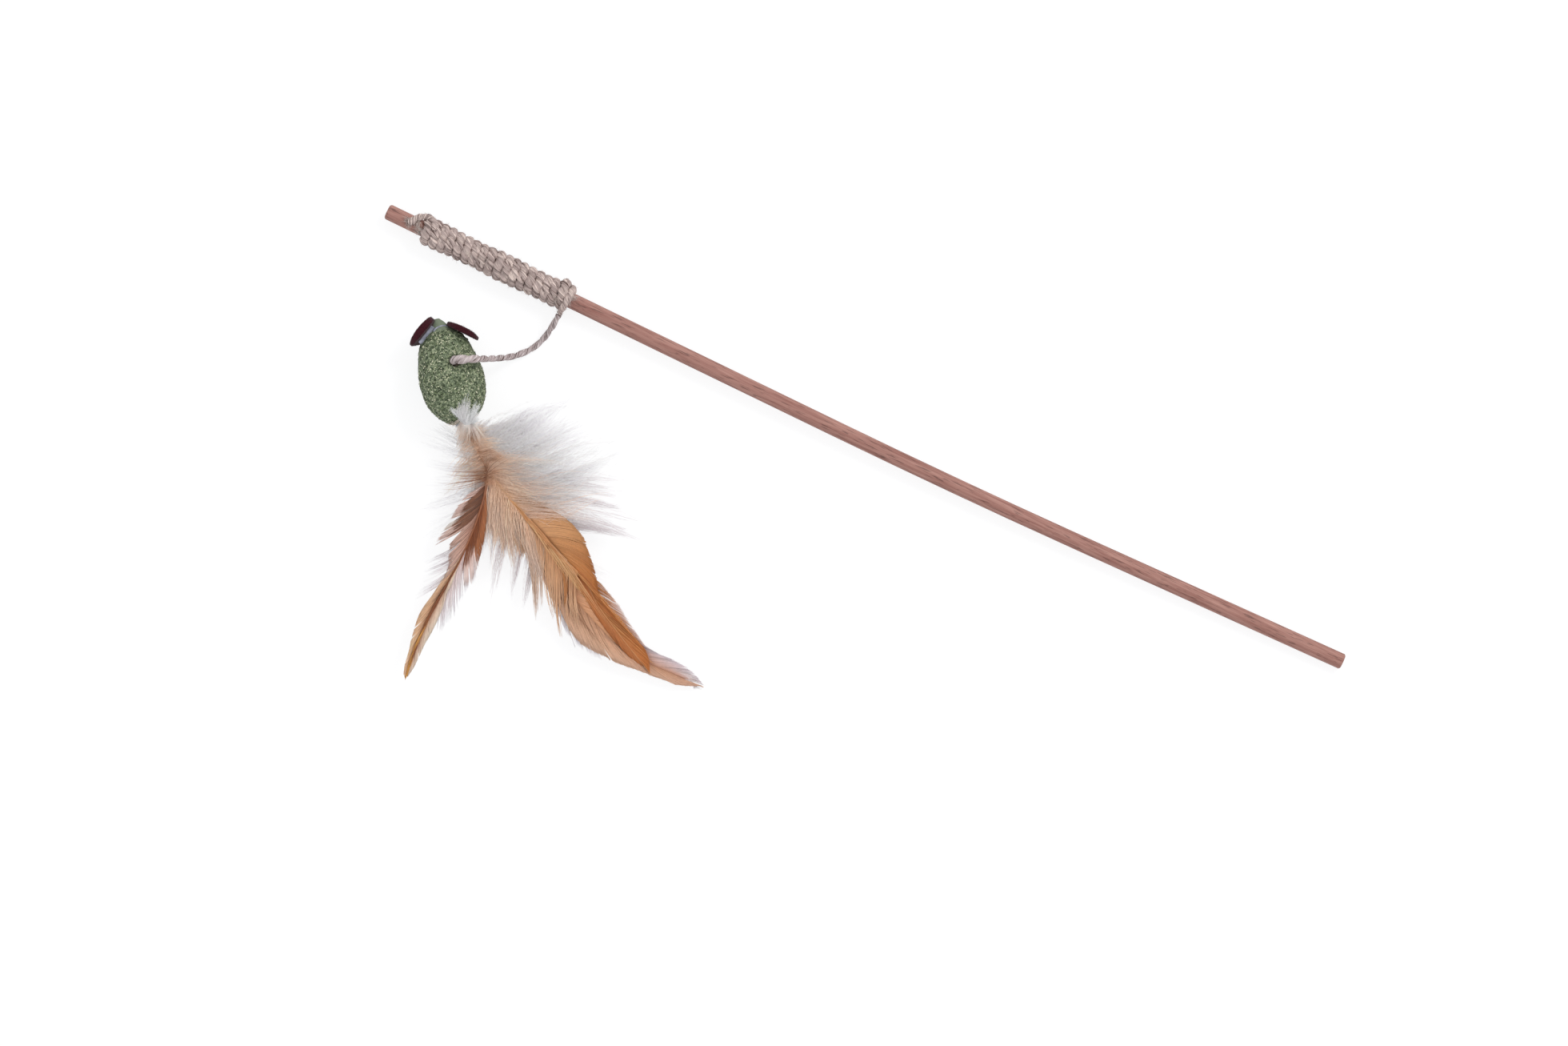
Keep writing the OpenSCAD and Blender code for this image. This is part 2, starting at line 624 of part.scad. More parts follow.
module gold_quill()
    color([0.66, 0.42, 0.22])
    on_root(gold_heading, 0)
    quill(gold_line_shares, gold_length);

module gold_vane()
    color([0.74, 0.5, 0.28])
    on_root(gold_heading, 0)
    vane(gold_line_shares, gold_length, gold_width, gold_left_shares, gold_right_shares);

module gold_down()
    color([0.78, 0.66, 0.56])
    on_root(gold_heading, 0)
    down(gold_line_shares, gold_length, gold_down_left_shares, gold_down_right_shares);

module rose_quill()
    color([0.7, 0.5, 0.4])
    on_root(rose_heading, -1)
    quill(rose_line_shares, rose_length);

module rose_vane()
    color([0.74, 0.54, 0.44])
    on_root(rose_heading, -1)
    vane(rose_line_shares, rose_length, rose_width, rose_left_shares, rose_right_shares);

module rose_down()
    color([0.9, 0.87, 0.85])
    on_root(rose_heading, -1)
    down(rose_line_shares, rose_length, rose_down_left_shares, rose_down_right_shares);

// The origin is under the middle of the whole, which reaches from the tip to the handle's end, and from
// the brown feather's tip to the handle's outer side
brown_tip = nose + [cos(mouse_heading), sin(mouse_heading)] * root.x
    + [cos(mouse_heading + brown_heading), sin(mouse_heading + brown_heading)] * brown_length;
handle_side = handle_far.y * cos(bow_roll) + stick_radius;
centre = [handle_far.x / 2, (handle_side + brown_tip.y) / 2];

translate([-centre.x, -centre.y, 0]) {
    wand_stick();
    tip_hitch();
    twine_winding();
    lock_hitch();
    twine_lead();
    mouse_body();
    left_ear();
    right_ear();
    left_ear_glue();
    right_ear_glue();
    twine_anchor();
    anchor_glue();
    feather_glue_plug();
    quill_roots();
    rear_down();
    brown_quill();
    brown_vane();
    brown_down();
    gold_quill();
    gold_vane();
    gold_down();
    rose_quill();
    rose_vane();
    rose_down();
}
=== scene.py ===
import math

import bmesh
import bpy
import numpy as np
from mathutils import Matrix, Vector, noise
from mathutils.bvhtree import BVHTree


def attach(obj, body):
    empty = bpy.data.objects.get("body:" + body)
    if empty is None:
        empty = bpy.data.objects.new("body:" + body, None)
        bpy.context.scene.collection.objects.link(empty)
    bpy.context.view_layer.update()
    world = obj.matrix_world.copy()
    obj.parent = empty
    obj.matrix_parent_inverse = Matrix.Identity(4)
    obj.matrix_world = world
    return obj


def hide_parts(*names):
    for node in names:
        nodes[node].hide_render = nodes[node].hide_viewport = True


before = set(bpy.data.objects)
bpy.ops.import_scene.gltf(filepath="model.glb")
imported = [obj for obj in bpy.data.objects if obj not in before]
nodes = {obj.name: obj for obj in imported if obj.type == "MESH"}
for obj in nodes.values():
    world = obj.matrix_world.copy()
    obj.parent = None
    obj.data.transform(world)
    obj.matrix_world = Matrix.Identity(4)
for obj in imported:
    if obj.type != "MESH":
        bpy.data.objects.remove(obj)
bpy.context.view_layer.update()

# Table, camera and light. The toy lies on a white table and is seen from straight above. One large
# soft lamp stands beyond the top right corner of the picture, in an evenly lit white room.
TIP = np.array([-199.967, 73.7325, 0])  # the stick's tip, in millimetres
SENSOR = 36
EYE_OFF = 3.0
PICTURE_WIDE = 0.59349  # how much of the table the picture shows from side to side, in metres
PICTURE_TURN = math.radians(25.86)
LAMP_PLACE = Vector((0.42, 1.25, 1.35))


def spot(x, y, z=0.0):
    """A place on the toy in metres, from millimetres along, across and above the stick's tip."""
    return (TIP + (x, y, z)) / 1000


def node(tree, kind, links=(), **values):
    """A node with its properties set, its plain sockets set and its linked sockets joined."""
    made = tree.nodes.new(kind)
    sockets = {}
    for key, value in values.items():
        if hasattr(made, key):
            setattr(made, key, value)
        else:
            sockets[key] = value
    for key, value in sockets.items():
        made.inputs[key].default_value = value
    for label, source in links:
        tree.links.new(source, made.inputs[label])
    return made


def mesh_of(name, bm):
    mesh = bpy.data.meshes.new(name)
    bm.to_mesh(mesh)
    bm.free()
    return mesh


def piece(name, bm, *materials):
    """The finished mesh of a piece as an object that stands at the origin."""
    mesh = mesh_of(name, bm)
    for m in materials:
        mesh.materials.append(m)
    obj = bpy.data.objects.new(name, mesh)
    bpy.context.scene.collection.objects.link(obj)
    return obj


eye = bpy.data.cameras.new("eye")
eye.sensor_width = SENSOR
eye.lens = SENSOR * EYE_OFF / PICTURE_WIDE
eye.clip_start, eye.clip_end = 0.1, 10
eye_stand = bpy.data.objects.new("eye", eye)
eye_stand.location = (-0.013387, 0.03311, 3.005)
eye_stand.rotation_euler = (0, 0, PICTURE_TURN)
bpy.context.scene.collection.objects.link(eye_stand)
bpy.context.scene.camera = eye_stand
bpy.context.scene.view_settings.view_transform = "Standard"

room = bpy.data.worlds.new("room")
room.use_nodes = True
room.node_tree.nodes["Background"].inputs["Color"].default_value = (0.97, 0.985, 1, 1)
room.node_tree.nodes["Background"].inputs["Strength"].default_value = 0.88
bpy.context.scene.world = room

lamp = bpy.data.lights.new("soft_lamp", "AREA")
lamp.shape, lamp.size, lamp.energy, lamp.color = "DISK", 0.7, 12, (1, 0.985, 0.96)
lamp_stand = bpy.data.objects.new("soft_lamp", lamp)
lamp_stand.location = LAMP_PLACE
lamp_stand.rotation_euler = LAMP_PLACE.to_track_quat("Z", "Y").to_euler()
bpy.context.scene.collection.objects.link(lamp_stand)

# The table takes the toy's shadow, and where it is seen it is lit up to white
white_top = bpy.data.materials.new("white_table")
white_top.use_nodes = True
t = white_top.node_tree
t.nodes.clear()
ray = node(t, "ShaderNodeLightPath").outputs
seen = node(t, "ShaderNodeMath", [(0, ray["Is Camera Ray"]), (1, ray["Is Glossy Ray"])], operation="MAXIMUM")
seen = node(t, "ShaderNodeMath", [(0, seen.outputs[0]), (1, ray["Is Transmission Ray"])],
            operation="MAXIMUM")
share = node(t, "ShaderNodeMath", [(0, seen.outputs[0])], operation="MULTIPLY")
share.inputs[1].default_value = 0.75
matt = node(t, "ShaderNodeBsdfDiffuse", Color=(0.9, 0.9, 0.92, 1))
bright = node(t, "ShaderNodeEmission", Color=(1, 1, 1, 1), Strength=1.08)
blend = node(t, "ShaderNodeMixShader", [(0, share.outputs[0]), (1, matt.outputs[0]), (2, bright.outputs[0])])
node(t, "ShaderNodeOutputMaterial", [("Surface", blend.outputs[0])])
bm = bmesh.new()
bmesh.ops.create_grid(bm, x_segments=1, y_segments=1, size=3)
table_top = piece("table_top", bm, white_top)

# Free twine. Two-ply natural jute, each ply spun one way and the pair laid up the other way. It
# leaves the hitch, droops to the table, climbs the mouse's side and goes into the hole in its back.
TWINE_WIDE = 2.4
LAY = 11.5
LEAD_LONG = 62.5
LOOSENS_FROM, LOOSENS_OVER, LOOSENS_BY = 44, 12, 0.42  # the plies open out where it is stuck in the mouse
LEAD_ROUTE = [
    (75.6, -7.0, 6.9), (75.4, -10, 5.8), (75, -13.5, 4.1), (74.2, -17.3, 2.35), (72.8, -21, 1.5),
    (70.9, -24.1, 1.5), (68.7, -26.7, 2.5), (66.6, -28.7, 4.5), (64.5, -30.3, 7.4), (62.5, -31.6, 10.9),
    (60.7, -32.7, 14.6), (59, -33.7, 18.2), (57.5, -34.5, 21.3), (56.3, -35.1, 23.4),
    (55.2, -35.7, 24.8), (54, -36.4, 25.7), (52.5, -37.2, 26.1), (50.9, -38.1, 25.9),
    (49.3, -38.95, 24.9), (48.2, -39.6, 23.1), (47.9, -39.8, 20.6),
]


def distances(line):
    """How far along a line each of its points lies."""
    return np.append(0, np.cumsum(np.linalg.norm(np.diff(line, axis=0), axis=1)))


def smooth_run(points, step):
    """Points an even step apart on one smooth curve through the given points."""
    rows = np.array(points, float)
    rows = np.vstack([2 * rows[0] - rows[1], rows, 2 * rows[-1] - rows[-2]])
    t = np.linspace(0, 1, 24, endpoint=False)[:, None]
    fine = [
        0.5 * (2 * b + (c - a) * t + (2 * a - 5 * b + 4 * c - d) * t**2 + (3 * b - a - 3 * c + d) * t**3)
        for a, b, c, d in zip(rows, rows[1:], rows[2:], rows[3:])
    ]
    fine = np.vstack([*fine, rows[-2:-1]])
    gone = distances(fine)
    stops = np.linspace(0, gone[-1], max(3, int(gone[-1] / step) + 1))
    return np.stack([np.interp(stops, gone, fine[:, k]) for k in range(3)], axis=1)


def unit(rows):
    return rows / np.maximum(np.linalg.norm(rows, axis=-1, keepdims=True), 1e-12)


def sides_of(line, up):
    """The run, side and up directions of a line, with up turning as little as it can."""
    run = unit(np.gradient(line, axis=0))
    ups = []
    for r in run:
        up = up - r * float(up @ r)
        up = up / np.linalg.norm(up)
        ups.append(up)
    ups = np.array(ups)
    return run, np.cross(run, ups), ups


def tube(bm, line, side, up, wide, high, sides, spin=0.0):
    """Rolls a flat sheet of faces round a line into a closed tube, and keeps in the layer named
    grain where each point would be on the straightened, untwisted strand, in millimetres."""
    n = len(line)
    grain = bm.verts.layers.float_vector.get("grain") or bm.verts.layers.float_vector.new("grain")
    sheet = bmesh.ops.create_grid(bm, x_segments=n - 1, y_segments=sides, size=0.5)["verts"]
    gone = distances(line)
    wide, high = np.broadcast_to(wide, n), np.broadcast_to(high, n)
    for v in sheet:
        i = round((v.co.x + 0.5) * (n - 1))
        k = round((v.co.y + 0.5) * sides)
        a = 2 * math.pi * k / sides
        c, s = math.cos(a), math.sin(a)
        v.co = Vector(line[i] + side[i] * (wide[i] / 2 * c) + up[i] * (high[i] / 2 * s))
        b = a + spin * gone[i] * 1000
        v[grain] = (gone[i] * 1000, 0.5 * math.cos(b), 0.5 * math.sin(b))
    rim = [v for v in sheet if v.is_boundary]
    bmesh.ops.remove_doubles(bm, verts=rim, dist=1e-7)
    ends = [e for v in rim if v.is_valid for e in v.link_edges if e.is_boundary]
    bmesh.ops.holes_fill(bm, edges=list(set(ends)), sides=0)


def plied(bm, line, up, wide, high, lay, phase=0.0, sides=12, apart=0.22):
    """Two plies laid round a line. up is one direction or one for each point, wide and high are the
    twine's own in millimetres, and apart is how far the plies stand out, as a share of them."""
    n = len(line)
    run = unit(np.gradient(line, axis=0))
    if np.ndim(up) == 1:
        run, side, ups = sides_of(line, up)
    else:
        ups = unit(up - run * np.sum(up * run, axis=1, keepdims=True))
        side = np.cross(run, ups)
    gone = distances(line) * 1000
    wide, high = np.broadcast_to(wide, n), np.broadcast_to(high, n)
    for ply in (0, 1):
        turn = 2 * math.pi * (gone / lay) + phase + math.pi * ply
        uneven = np.array([1 + 0.1 * noise.noise((g * 0.45, ply * 7.3, phase)) for g in gone])
        c, s = np.cos(turn)[:, None], np.sin(turn)[:, None]
        middle = line + (side * c * wide[:, None] + ups * s * high[:, None]) * (apart / 1000)
        out = unit(side * c * wide[:, None] + ups * s * high[:, None])
        broad = np.hypot(wide * s[:, 0], high * c[:, 0])
        deep = np.hypot(wide * c[:, 0], high * s[:, 0])
        tube(bm, middle, np.cross(run, out), out, broad * (0.98 - 1.1 * apart) * uneven / 1000,
             deep * (1.02 - 2 * apart) * uneven / 1000, sides, spin=-2 * math.pi / lay * 0.9)


def smooth_faces(obj):
    obj.data.polygons.foreach_set("use_smooth", np.ones(len(obj.data.polygons), bool))
    obj.data.update()


def strand(name, bm, *materials):
    """Twine or a bead of glue that was laid as tubes: its faces turned outwards and smoothed."""
    bmesh.ops.recalc_face_normals(bm, faces=bm.faces)
    made = piece(name, bm, *materials)
    smooth_faces(made)
    return made


def bristle(name, steps, sides, tip=0.15, belly=0.0):
    """One straight fibre of unit length and width along X, thick at its root, thin at its tip."""
    bm = bmesh.new()
    s = np.linspace(0, 1, steps + 1)
    line = np.stack([s, 0 * s, 0 * s], axis=1)
    side = np.tile([0.0, 1, 0], (steps + 1, 1))
    up = np.tile([0.0, 0, 1], (steps + 1, 1))
    width = (1 - s) * (1 - tip) + tip + belly * np.sin(np.pi * s)
    tube(bm, line, side, up, width, width, sides)
    bmesh.ops.recalc_face_normals(bm, faces=bm.faces)
    return mesh_of(name, bm)


def strewn(name, template, root, middle, tip, face, wide, thick, dye, *materials):
    """Many copies of a fibre, each bent along its own curve from root to tip. face is the way
    its flat side looks, and dye its colour at the root and at the tip."""
    rack = bpy.data.objects.new(name + "_rack", template)
    bpy.context.scene.collection.objects.link(rack)
    row = rack.modifiers.new("row", "ARRAY")
    row.count, row.use_relative_offset = len(root), False
    copies = rack.evaluated_get(bpy.context.evaluated_depsgraph_get())
    mesh = bpy.data.meshes.new_from_object(copies)
    mesh.name = name
    bpy.data.objects.remove(rack)
    shape = np.zeros(len(template.vertices) * 3)
    template.vertices.foreach_get("co", shape)
    shape = shape.reshape(-1, 3)
    s = shape[:, 0][None, :, None]
    p, q, r = root[:, None], middle[:, None], tip[:, None]
    along = (1 - s) ** 2 * p + 2 * s * (1 - s) * q + s**2 * r
    run = unit(2 * (1 - s) * (q - p) + 2 * s * (r - q) + 1e-9)
    side = unit(np.cross(np.broadcast_to(face[:, None], run.shape), run))
    up = np.cross(run, side)
    place = along + side * (shape[:, 1][None, :, None] * wide[:, None, None])
    place = place + up * (shape[:, 2][None, :, None] * thick[:, None, None])
    mesh.vertices.foreach_set("co", place.astype(np.float32).ravel())
    coat = mesh.attributes.new("dye", "FLOAT_COLOR", "POINT")
    mix = dye[0][:, None] * (1 - s) + dye[1][:, None] * s
    rgba = np.concatenate([mix, np.ones(mix.shape[:2] + (1,))], axis=2)
    coat.data.foreach_set("color", rgba.astype(np.float32).ravel())
    for m in materials:
        mesh.materials.append(m)
    obj = bpy.data.objects.new(name, mesh)
    bpy.context.scene.collection.objects.link(obj)
    smooth_faces(obj)
    return obj


def linear(red, green, blue, light=1.19):
    """A colour as it is seen in the picture, 0 to 255, as the share of the room's light that the
    surface gives back. The room's light on a level surface is 1.19 of what is seen as white."""
    seen = [((c / 255 + 0.055) / 1.055) ** 2.4 if c > 10 else c / 3295 for c in (red, green, blue)]
    return np.array(seen) / light


def dyes(*colours):
    return np.array([linear(*c) for c in colours])


def fibre_dust(line, out, count, reach, wide, seed, tints):
    """Loose ends of fibre that stand off a strand, as roots, middles, tips and colours."""
    rng = np.random.default_rng(seed)
    i = rng.integers(2, len(line) - 2, count)
    run = unit(np.gradient(line, axis=0))[i]
    away = unit(np.cross(run, unit(rng.normal(size=(count, 3)))))
    lean = run * rng.choice([-1, 1], count)[:, None] * rng.uniform(0.4, 2.2, count)[:, None]
    length = (reach * rng.uniform(0.25, 1, count) ** 1.6)[:, None]
    root = line[i] + away * out * 0.8
    middle = root + (away * 0.75 + lean * 0.5) * length * 0.5
    tip = root + (away * rng.uniform(0.2, 1, (count, 1)) + lean) * length * 0.6
    tip = tip + rng.normal(size=(count, 3)) * length * 0.15
    for rows in (root, middle, tip):
        rows[:, 2] = np.maximum(rows[:, 2], 0.00015)
    tint = tints[rng.integers(0, len(tints), count)]
    face = unit(rng.normal(size=(count, 3)))
    return root, middle, tip, face, np.full(count, wide), np.full(count, wide), (tint * 0.85, tint)


def group_of(name, inputs, outputs):
    """An empty node group with its named sockets."""
    tree = bpy.data.node_groups.new(name, "ShaderNodeTree")
    for label, kind, value in inputs:
        socket = tree.interface.new_socket(label, in_out="INPUT", socket_type=kind)
        if value is not None:
            socket.default_value = value
    for label, kind in outputs:
        tree.interface.new_socket(label, in_out="OUTPUT", socket_type=kind)
    return tree, tree.nodes.new("NodeGroupInput").outputs, tree.nodes.new("NodeGroupOutput").inputs


def speckle(tree, place, scale, detail=2.0, rough=0.5):
    """Soft random patches over a piece."""
    return node(tree, "ShaderNodeTexNoise", [("Vector", place)], Scale=scale, Detail=detail,
                Roughness=rough).outputs["Fac"]


def spread(tree, value, low=0.0, high=1.0, least=0.0, most=1.0, smooth=False):
    """A value that runs from low to high, spread from least to most."""
    made = node(tree, "ShaderNodeMapRange", [("Value", value)],
                interpolation_type="SMOOTHSTEP" if smooth else "LINEAR")
    for label, number in (("From Min", low), ("From Max", high), ("To Min", least), ("To Max", most)):
        made.inputs[label].default_value = number
    return made.outputs[0]


def mixed(tree, share, first, second):
    """Two colours mixed by a share. Each is a socket, or a colour as it is seen in the picture."""
    made = node(tree, "ShaderNodeMix", [("Factor", share)], data_type="RGBA")
    for k, source in ((6, first), (7, second)):
        if isinstance(source, tuple):
            made.inputs[k].default_value = (*linear(*source), 1)
        else:
            tree.links.new(source, made.inputs[k])
    return made.outputs[2]


def times(tree, first, second):
    return node(tree, "ShaderNodeVectorMath", [(0, first), (1, second)], operation="MULTIPLY").outputs[0]


def place_on(tree):
    """The place on the piece, in metres."""
    return node(tree, "ShaderNodeTexCoord").outputs["Object"]


def new_finish(name, rough, gloss=0.5):
    """A material with its roughness and gloss set, its nodes and its shader."""
    m = bpy.data.materials.new(name)
    m.use_nodes = True
    shader = m.node_tree.nodes["Principled BSDF"]
    shader.inputs["Roughness"].default_value = rough
    shader.inputs["Specular IOR Level"].default_value = gloss
    return m, m.node_tree, shader


def coat(tree, shader, colour, height=None, strength=0.0, depth=0.0):
    """Gives a shader its colour, and its bumps where a height is given."""
    tree.links.new(colour, shader.inputs["Base Color"])
    if height is not None:
        bump = node(tree, "ShaderNodeBump", [("Height", height)], Strength=strength, Distance=depth)
        tree.links.new(bump.outputs[0], shader.inputs["Normal"])


# Fibres of a spun ply, drawn along the strand: a light and dark streak, and a height
spun, spun_in, spun_out = group_of(
    "spun_fibre",
    [("Grain", "NodeSocketVector", None), ("Base", "NodeSocketColor", (0.4, 0.3, 0.25, 1)),
     ("Light", "NodeSocketColor", (0.6, 0.5, 0.4, 1)), ("Dark", "NodeSocketColor", (0.2, 0.1, 0.08, 1)),
     ("Fineness", "NodeSocketFloat", 2.6)],
    [("Color", "NodeSocketColor"), ("Height", "NodeSocketFloat")],
)
drawn_out = node(spun, "ShaderNodeMapping", [("Vector", spun_in["Grain"])], Scale=(0.06, 1, 1)).outputs[0]
streak = node(spun, "ShaderNodeTexNoise", [("Vector", drawn_out), ("Scale", spun_in["Fineness"])],
              Detail=4.0, Roughness=0.6).outputs["Fac"]
lighter = mixed(spun, spread(spun, streak, 0.5, 0.64, smooth=True), spun_in["Base"], spun_in["Light"])
darker = mixed(spun, spread(spun, streak, 0.47, 0.33, smooth=True), lighter, spun_in["Dark"])
patches = spread(spun, speckle(spun, spun_in["Grain"], 0.55), least=0.7, most=1.3)
spun.links.new(times(spun, darker, patches), spun_out["Color"])
spun.links.new(streak, spun_out["Height"])


def twine_finish(name, base, light, dark):
    """Matt plant fibre whose streaks follow the ply."""
    m, t, shader = new_finish(name, rough=0.85, gloss=0.25)
    grain = node(t, "ShaderNodeAttribute", attribute_name="grain").outputs["Vector"]
    fibre = node(t, "ShaderNodeGroup", [], node_tree=spun)
    t.links.new(grain, fibre.inputs["Grain"])
    for label, value in (("Base", base), ("Light", light), ("Dark", dark)):
        fibre.inputs[label].default_value = (*linear(*value), 1)
    coat(t, shader, fibre.outputs["Color"], fibre.outputs["Height"], strength=0.7, depth=0.00035)
    return m


def dyed_finish(name, rough=0.8, gloss=0.25, sheen=0.0):
    """The finish of fibres that carry their own colour in the layer named dye."""
    m, t, shader = new_finish(name, rough, gloss)
    dye = node(t, "ShaderNodeAttribute", attribute_name="dye").outputs["Color"]
    coat(t, shader, times(t, dye, spread(t, speckle(t, place_on(t), 900.0), least=0.9, most=1.1)))
    shader.inputs["Sheen Weight"].default_value = sheen
    return m


lead_twine = twine_finish("lead_twine", (190, 174, 173), (232, 220, 220), (84, 62, 58))
loose_fibre = dyed_finish("loose_fibre")
TWINE_TINTS = dyes((226, 212, 206), (204, 186, 178), (246, 236, 228), (160, 138, 132))
hair = bristle("hair", steps=5, sides=3)

lead_line = smooth_run([spot(*p) for p in LEAD_ROUTE], 0.00028)
bm = bmesh.new()
gone = np.linspace(0, LEAD_LONG, len(lead_line))
lead_wide = TWINE_WIDE * (1 + LOOSENS_BY * np.clip((gone - LOOSENS_FROM) / LOOSENS_OVER, 0, 1))
plied(bm, lead_line, np.array([0.3, 0, 1.0]), lead_wide, lead_wide, LAY, phase=0.4)
free_twine = strand("free_twine", bm, lead_twine)
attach(free_twine, "lead")
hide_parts("twine_lead")
lead_dust = fibre_dust(lead_line, out=0.0011, count=420, reach=0.0022, wide=0.00007, seed=5,
                       tints=TWINE_TINTS)
lead_fuzz = strewn("lead_fuzz", hair, *lead_dust, loose_fibre)
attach(lead_fuzz, "lead")

# Twine wound round the stick. Seventeen turns are wound by hand towards the handle. The tail is looped
# over the first turns, its end frayed, and the last turns are locked over each other in a hitch.
TURNS = 17
PITCH = 3.33
FIRST_TURN = 16.2
TURN_RADIUS = 3.86
AXIS = 5.12  # height of the stick's middle line
WOUND_LAY = 8
wound_twine = twine_finish("wound_twine", (190, 170, 165), (242, 222, 212), (78, 55, 48))
# Rows of place along the stick, angle round it and distance from its middle line, in millimetres
TAIL = [
    (9.6, 98, 3.8), (10.1, 84, 4.0), (10.8, 66, 4.2), (12, 48, 4.6), (13.6, 35, 5.1), (15.4, 29, 5.5),
    (17, 32, 5.5), (18.3, 44, 5.2), (19.2, 60, 4.8), (19.8, 78, 4.3),
]
LOCK = [
    (72.8, 6112, 4.6), (72.9, 6130, 5.4), (73.1, 6155, 5.5), (73.3, 6182, 4.8), (73.6, 6212, 4.35),
    (74, 6250, 4), (74.5, 6300, 3.9), (74.8, 6350, 3.9), (74.9, 6400, 3.9), (75.1, 6440, 4.1),
    (75.6, 6475, 4.25), (76, 6500, 4.4), (76.3, 6535, 4.6), (76.2, 6570, 4.9), (76, 6600, 5.4),
    (75.7, 6630, 6.3), (75.6, 6643, 7.1),
]
# Where the twine is frayed: a place, the way its fibres point and how many there are
FRAYS = [
    ((9.3, 0.5, 9.3), (-1.7, -0.3), 90), ((12.6, 1.6, 9.2), (0.4, -2.6), 50),
    ((9.4, -0.4, 8.4), (0.6, -2), 50), ((15.6, -0.8, 8.7), (-3.4, 0.4), 60),
    ((15.6, -2.2, 7.6), (-3.6, 0.2), 50), ((72.4, -1.6, 9.6), (0.3, -1.6), 60),
    ((76.6, 0.4, 10.2), (3.0, 1.6), 60), ((76.4, -0.4, 10.2), (1.7, -2.4), 40),
]


def smooth_column(t, far, column):
    """Values of a column at distances t, on a curve that never swings past its rows."""
    rise = np.diff(column) / np.diff(far)
    before, after = rise[:-1], rise[1:]
    level = before * after <= 0
    inner = np.where(level, 0, 2 * before * after / np.where(level, 1, before + after))
    slope = np.concatenate([rise[:1], inner, rise[-1:]])
    i = np.clip(np.searchsorted(far, t, "right") - 1, 0, len(far) - 2)
    span = far[i + 1] - far[i]
    u = (t - far[i]) / span
    a, b, rise = slope[i] * span, slope[i + 1] * span, column[i + 1] - column[i]
    return column[i] + a * u + (3 * rise - 2 * a - b) * u**2 + (a + b - 2 * rise) * u**3


def wound(bm, rows, wide, high, phase, slim=0):
    """A stretch of wound twine through the rows, which narrows to the free twine's own width over
    its last slim millimetres."""
    step, mean_radius = 0.42, 4.2
    table = np.array(rows, float)
    around = np.radians(np.diff(table[:, 1])) * mean_radius
    far = np.append(0, np.cumsum(np.hypot(np.diff(table[:, 0]), around)))
    t = np.arange(0, far[-1], step)
    x, angle, off = (smooth_column(t, far, table[:, k]) for k in range(3))
    a = np.radians(angle)
    line = (np.stack([x, off * np.cos(a), AXIS + off * np.sin(a)], axis=1) + TIP) / 1000
    up = np.stack([0 * a, np.cos(a), np.sin(a)], axis=1)
    if slim:
        near = np.clip((t - far[-1] + slim) / slim, 0, 1)
        wide, high = wide + (TWINE_WIDE - wide) * near, high + (TWINE_WIDE - high) * near
    plied(bm, line, up, wide, high, WOUND_LAY, phase=phase, apart=0.15)
    return line


# Six points to a turn, a little uneven along the stick and in height, as a hand winds it. The tight
# turns are pressed flat.
rng = np.random.default_rng(11)
turns = []
for k in range(TURNS * 6):
    turn = k / 6
    x = FIRST_TURN + PITCH * turn + 0.2 * math.sin(math.radians(83 * turn))
    off = TURN_RADIUS + 0.22 * math.sin(0.7 * turn + 1) + rng.uniform(-0.08, 0.12)
    turns.append((x, 10 + 60 * k, off))
bm = bmesh.new()
START = (15.4, -52, 3.8)
wound_line = wound(bm, [START, *turns, *LOCK], wide=4.5, high=1.9, phase=0.7, slim=19)
tail_line = wound(bm, TAIL, wide=2.9, high=2.2, phase=2.1)
for v in bm.verts:
    v.co.z = max(v.co.z, 0.00006)
wound_part = strand("wound_turns", bm, wound_twine)
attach(wound_part, "wand")
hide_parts("twine_winding", "tip_hitch", "lock_hitch")
stray = [
    fibre_dust(wound_line, out=0.0012, count=8000, reach=0.0028, wide=0.00009, seed=8, tints=TWINE_TINTS),
    fibre_dust(tail_line, out=0.001, count=300, reach=0.0022, wide=0.00006, seed=9, tints=TWINE_TINTS),
]
rng = np.random.default_rng(12)
for heart, reach, count in FRAYS:
    root = np.tile(spot(*heart), (count, 1)) + rng.normal(0, 0.0004, (count, 3)) * (1, 1, 0.3)
    way = np.array([*reach, -0.4]) / 1000 + rng.normal(0, 0.0007, (count, 3)) * (1, 1, 0.4)
    bend = rng.normal(0, 0.0004, (count, 3)) + np.array([0, 0, 0.0004])
    tint = TWINE_TINTS[rng.integers(0, 4, count)] * 1.1
    stray.append((root, root + way * 0.5 + bend, root + way, unit(rng.normal(size=(count, 3))),
                  np.full(count, 0.00008), np.full(count, 0.00008), (tint, tint)))
stray = [np.concatenate(rows) for rows in zip(*[(*r[:6], *r[6]) for r in stray])]
wound_fuzz = strewn("wound_fuzz", hair, *stray[:6], (stray[6].clip(0, 1), stray[7].clip(0, 1)), loose_fibre)
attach(wound_fuzz, "wand")

# Stick. A turned hardwood dowel, reddish brown, bare and unvarnished, with fine dark pores along its
# grain and softly rounded ends. It has a slight natural bow past the winding.


def tint_row(tree, share, *stops):
    """Colours that follow a share, from rows of a place from 0 to 1 and a colour as it is seen."""
    made = node(tree, "ShaderNodeValToRGB", [("Fac", share)])
    row = made.color_ramp.elements
    row[0].position, row[1].position = stops[0][0], stops[-1][0]
    for place, _ in stops[1:-1]:
        row.new(place)
    for step, (_, colour) in zip(row, stops):
        step.color = (*linear(*colour), 1)
    return made.outputs["Color"]


def give(name, finish):
    """Gives a CAD node that stays its finish."""
    nodes[name].data.materials.clear()
    nodes[name].data.materials.append(finish)


